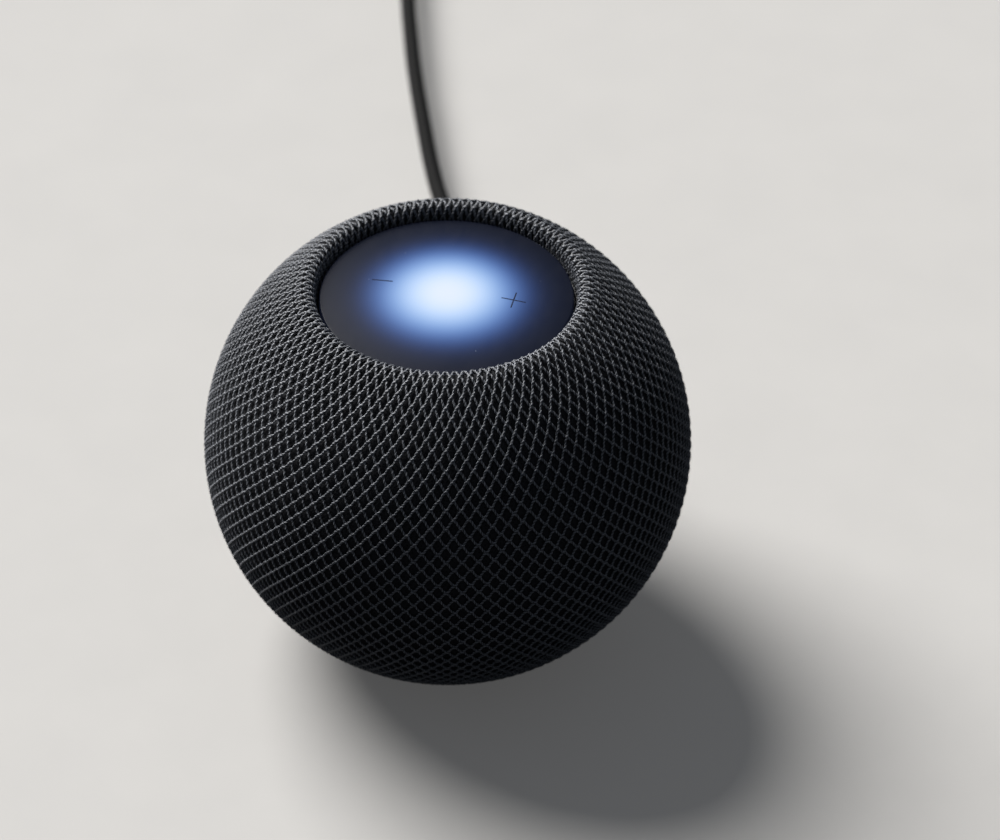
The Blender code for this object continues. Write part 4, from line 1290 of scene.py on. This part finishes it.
def make_chips():
    """Light sources, microphones, the processor's shield and the climate sensor."""
    led = block("led_shape", Vector((2.0, 2.0, 0.8)) * MM, 0.08 * MM)
    carve(led, drill(0, 0, 0.75 * MM, 0.15 * MM, MM, 40))
    can = block("microphone_shape", Vector((2.65, 3.5, 0.9)) * MM, 0.16 * MM)
    carve(can, drill(0.4 * MM, 0.9 * MM, 0.22 * MM, 0.1 * MM, MM))
    for shape, kind, count in ((led, "led", 5), (can, "microphone", 4)):
        for number in range(1, count + 1):
            node = f"{kind}_{number}"
            item = linked(f"{node}_detailed", shape.data)
            item.location = middle_of(node)
            item.rotation_euler.z = atan2(item.location.y, item.location.x)
            if node == "microphone_4":
                item.rotation_euler = (pi, 0, pi / 2)
            stand_for(item, node)
        bpy.data.objects.remove(shape)
    size = size_of("processor_shield")
    shield = block("shield_pressed", size, 0.4 * MM, 4)
    vent_pitch, top = 2.8 * MM, size.z / 2
    spots = [(vent_pitch * column, vent_pitch * row) for column in range(-3, 4) for row in range(-2, 3)]
    carve(shield, *[drill(x, y, 0.5 * MM, top - 0.3 * MM, top + MM, 16) for x, y in spots])
    size = size_of("climate_sensor")
    sensor = block("climate_sensor_vented", size, 0.12 * MM)
    bottom = -size.z / 2
    carve(sensor, drill(0, 0, 0.6 * MM, bottom - MM, bottom + 0.4 * MM))
    for item, node in ((shield, "processor_shield"), (sensor, "climate_sensor")):
        item.location = middle_of(node)
        stand_for(item, node)


def make_rounds():
    """The turned pieces of the case, the light and the boards, with their edges rounded."""
    rounds = {
        "touch_sensor": 0.05,
        "led_board": 0.1,
        "main_board": 0.1,
        "light_baffle": 0.2,
        "light_diffuser": 0.2,
        "heat_spreader": 0.35,
        "cover_clamp_ring": 0.2,
        "lens_gasket": 0.25,
        "housing_seal": 0.2,
        "upper_housing": 0.35,
    }
    for node, fillet in rounds.items():
        smooth_node(node, fillet, 128)


def make_base():
    """The base plate with its counterbores, the waveguide above it and the foot below."""
    head_r = size_of("base_screw_1").x / 2
    guide_low, guide_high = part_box("waveguide")
    guide = smooth_node("waveguide", 0.4, 128, bearing=0)
    carve(guide, *holes_at(screws_of("base"), disc(SHANK_WAY_R, guide_low.z - MM, guide_high.z)))
    plate_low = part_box("base_plate")[0].z
    plate = smooth_node("base_plate", 0.35, 128, bearing=0)
    seat_z = plate_low + 1.3 * MM
    counterbore = disc(head_r + 0.3 * MM, plate_low - MM, seat_z)[:3]
    shank_hole = disc(SHANK_WAY_R, seat_z, plate_low + 4 * MM)[1:]
    carve(plate, *holes_at(screws_of("base"), counterbore + shank_hole))
    foot_r, foot_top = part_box("foot_pad")[1].x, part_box("foot_pad")[1].z
    dish, groove = 0.3 * MM, 0.25 * MM
    foot = [
        (0, dish),
        (foot_r - 5.2 * MM, dish),
        (foot_r - 4.6 * MM, 0),
        (foot_r - 2.9 * MM, 0),
        (foot_r - 2.6 * MM, groove),
        (foot_r - 2.2 * MM, groove),
        (foot_r - 1.9 * MM, 0),
        (foot_r - 0.6 * MM, 0),
        (foot_r, 0.6 * MM),
        (foot_r, foot_top),
        (0, foot_top),
    ]
    pad = turned_piece("foot_pad_moulded", refined(foot, 0.25 * MM), 144)
    stand_for(pad, "foot_pad")


# ---- stage


def make_floor():
    """A pale table. It bounces little light, so the underside of the ball stays as dark as on wood."""
    built = bmesh.new()
    bmesh.ops.create_circle(built, cap_ends=True, segments=96, radius=FLOOR_R)
    floor = piece_of("floor", built)
    made = Finish("pale_floor", Roughness=0.75, Emission_Color=(1.0, 0.99, 0.98))
    pale = made.noise(0.05, 4.0).blend((0.42, 0.412, 0.402), (0.46, 0.45, 0.437))
    seen = made.field("ShaderNodeLightPath", "Is Camera Ray")
    made.set(Base_Color=seen.blend(FLOOR_BOUNCE, pale), Emission_Strength=seen * FLOOR_LIFT)
    floor.data.materials.append(made.material)


def make_lights():
    """A broad soft lamp from behind on the left, and a dim sky that is paler where it is seen."""
    key = bpy.data.lights.new("key", "SUN")
    key.energy = KEY_ENERGY
    key.angle = radians(KEY_WIDTH)
    key.color = (1.0, 0.985, 0.96)
    lamp = linked("key", key)
    lamp.rotation_mode = "QUATERNION"
    lamp.rotation_quaternion = KEY_DIRECTION.to_track_quat("Z", "Y")
    world = bpy.data.worlds.new("soft sky")
    bpy.context.scene.world = world
    world.use_nodes = True
    sky = Nodes(world.node_tree)
    sky.tree.nodes.clear()
    _, _, height = sky.field("ShaderNodeTexCoord", "Generated").axes()
    light = height.grade(-0.3, 1.0).blend(SKY_LOW, SKY_HIGH)
    colour = sky.field("ShaderNodeLightPath", "Is Camera Ray").blend(light, SKY_SEEN)
    back = sky.field("ShaderNodeBackground", "Background", {"Color": colour, "Strength": 1.0})
    sky.add("ShaderNodeOutputWorld", {"Surface": back})


def make_camera():
    azimuth, elevation = radians(CAMERA_AZIMUTH), radians(CAMERA_ELEVATION)
    right = Vector((cos(azimuth), sin(azimuth), 0))
    level = Vector((sin(azimuth), -cos(azimuth), 0))
    towards = level * cos(elevation) + Vector((0, 0, sin(elevation)))
    up = towards.cross(right)
    focal = CAMERA_LENS / SENSOR_WIDTH * FRAME_WIDTH
    aim = -towards - right * (BALL_RIGHT_OF_VIEW / focal) + up * (BALL_BELOW_VIEW / focal)
    data = bpy.data.cameras.new("camera")
    data.lens = CAMERA_LENS
    data.sensor_width = SENSOR_WIDTH
    data.clip_start = 0.05
    data.clip_end = 50
    camera = linked("camera", data)
    camera.location = BALL_CENTRE + towards * CAMERA_DISTANCE
    camera.rotation_mode = "QUATERNION"
    camera.rotation_quaternion = aim.to_track_quat("-Z", "Y")
    sharp = linked("focus", None)
    sharp.location = BALL_CENTRE + towards * FOCUS_BEFORE_CENTRE
    data.dof.use_dof = True
    data.dof.focus_object = sharp
    data.dof.aperture_fstop = CAMERA_FSTOP
    bpy.context.scene.camera = camera


dress_nodes()
make_cords()
make_liner()
make_cover_edges()
make_lens()
make_cable()
make_collar()
make_plug()
make_rounds()
make_chips()
make_driver()
make_radiators()
make_suspensions()
make_screws()
make_base()
make_floor()
make_lights()
make_camera()
bpy.context.scene.view_settings.view_transform = "Standard"
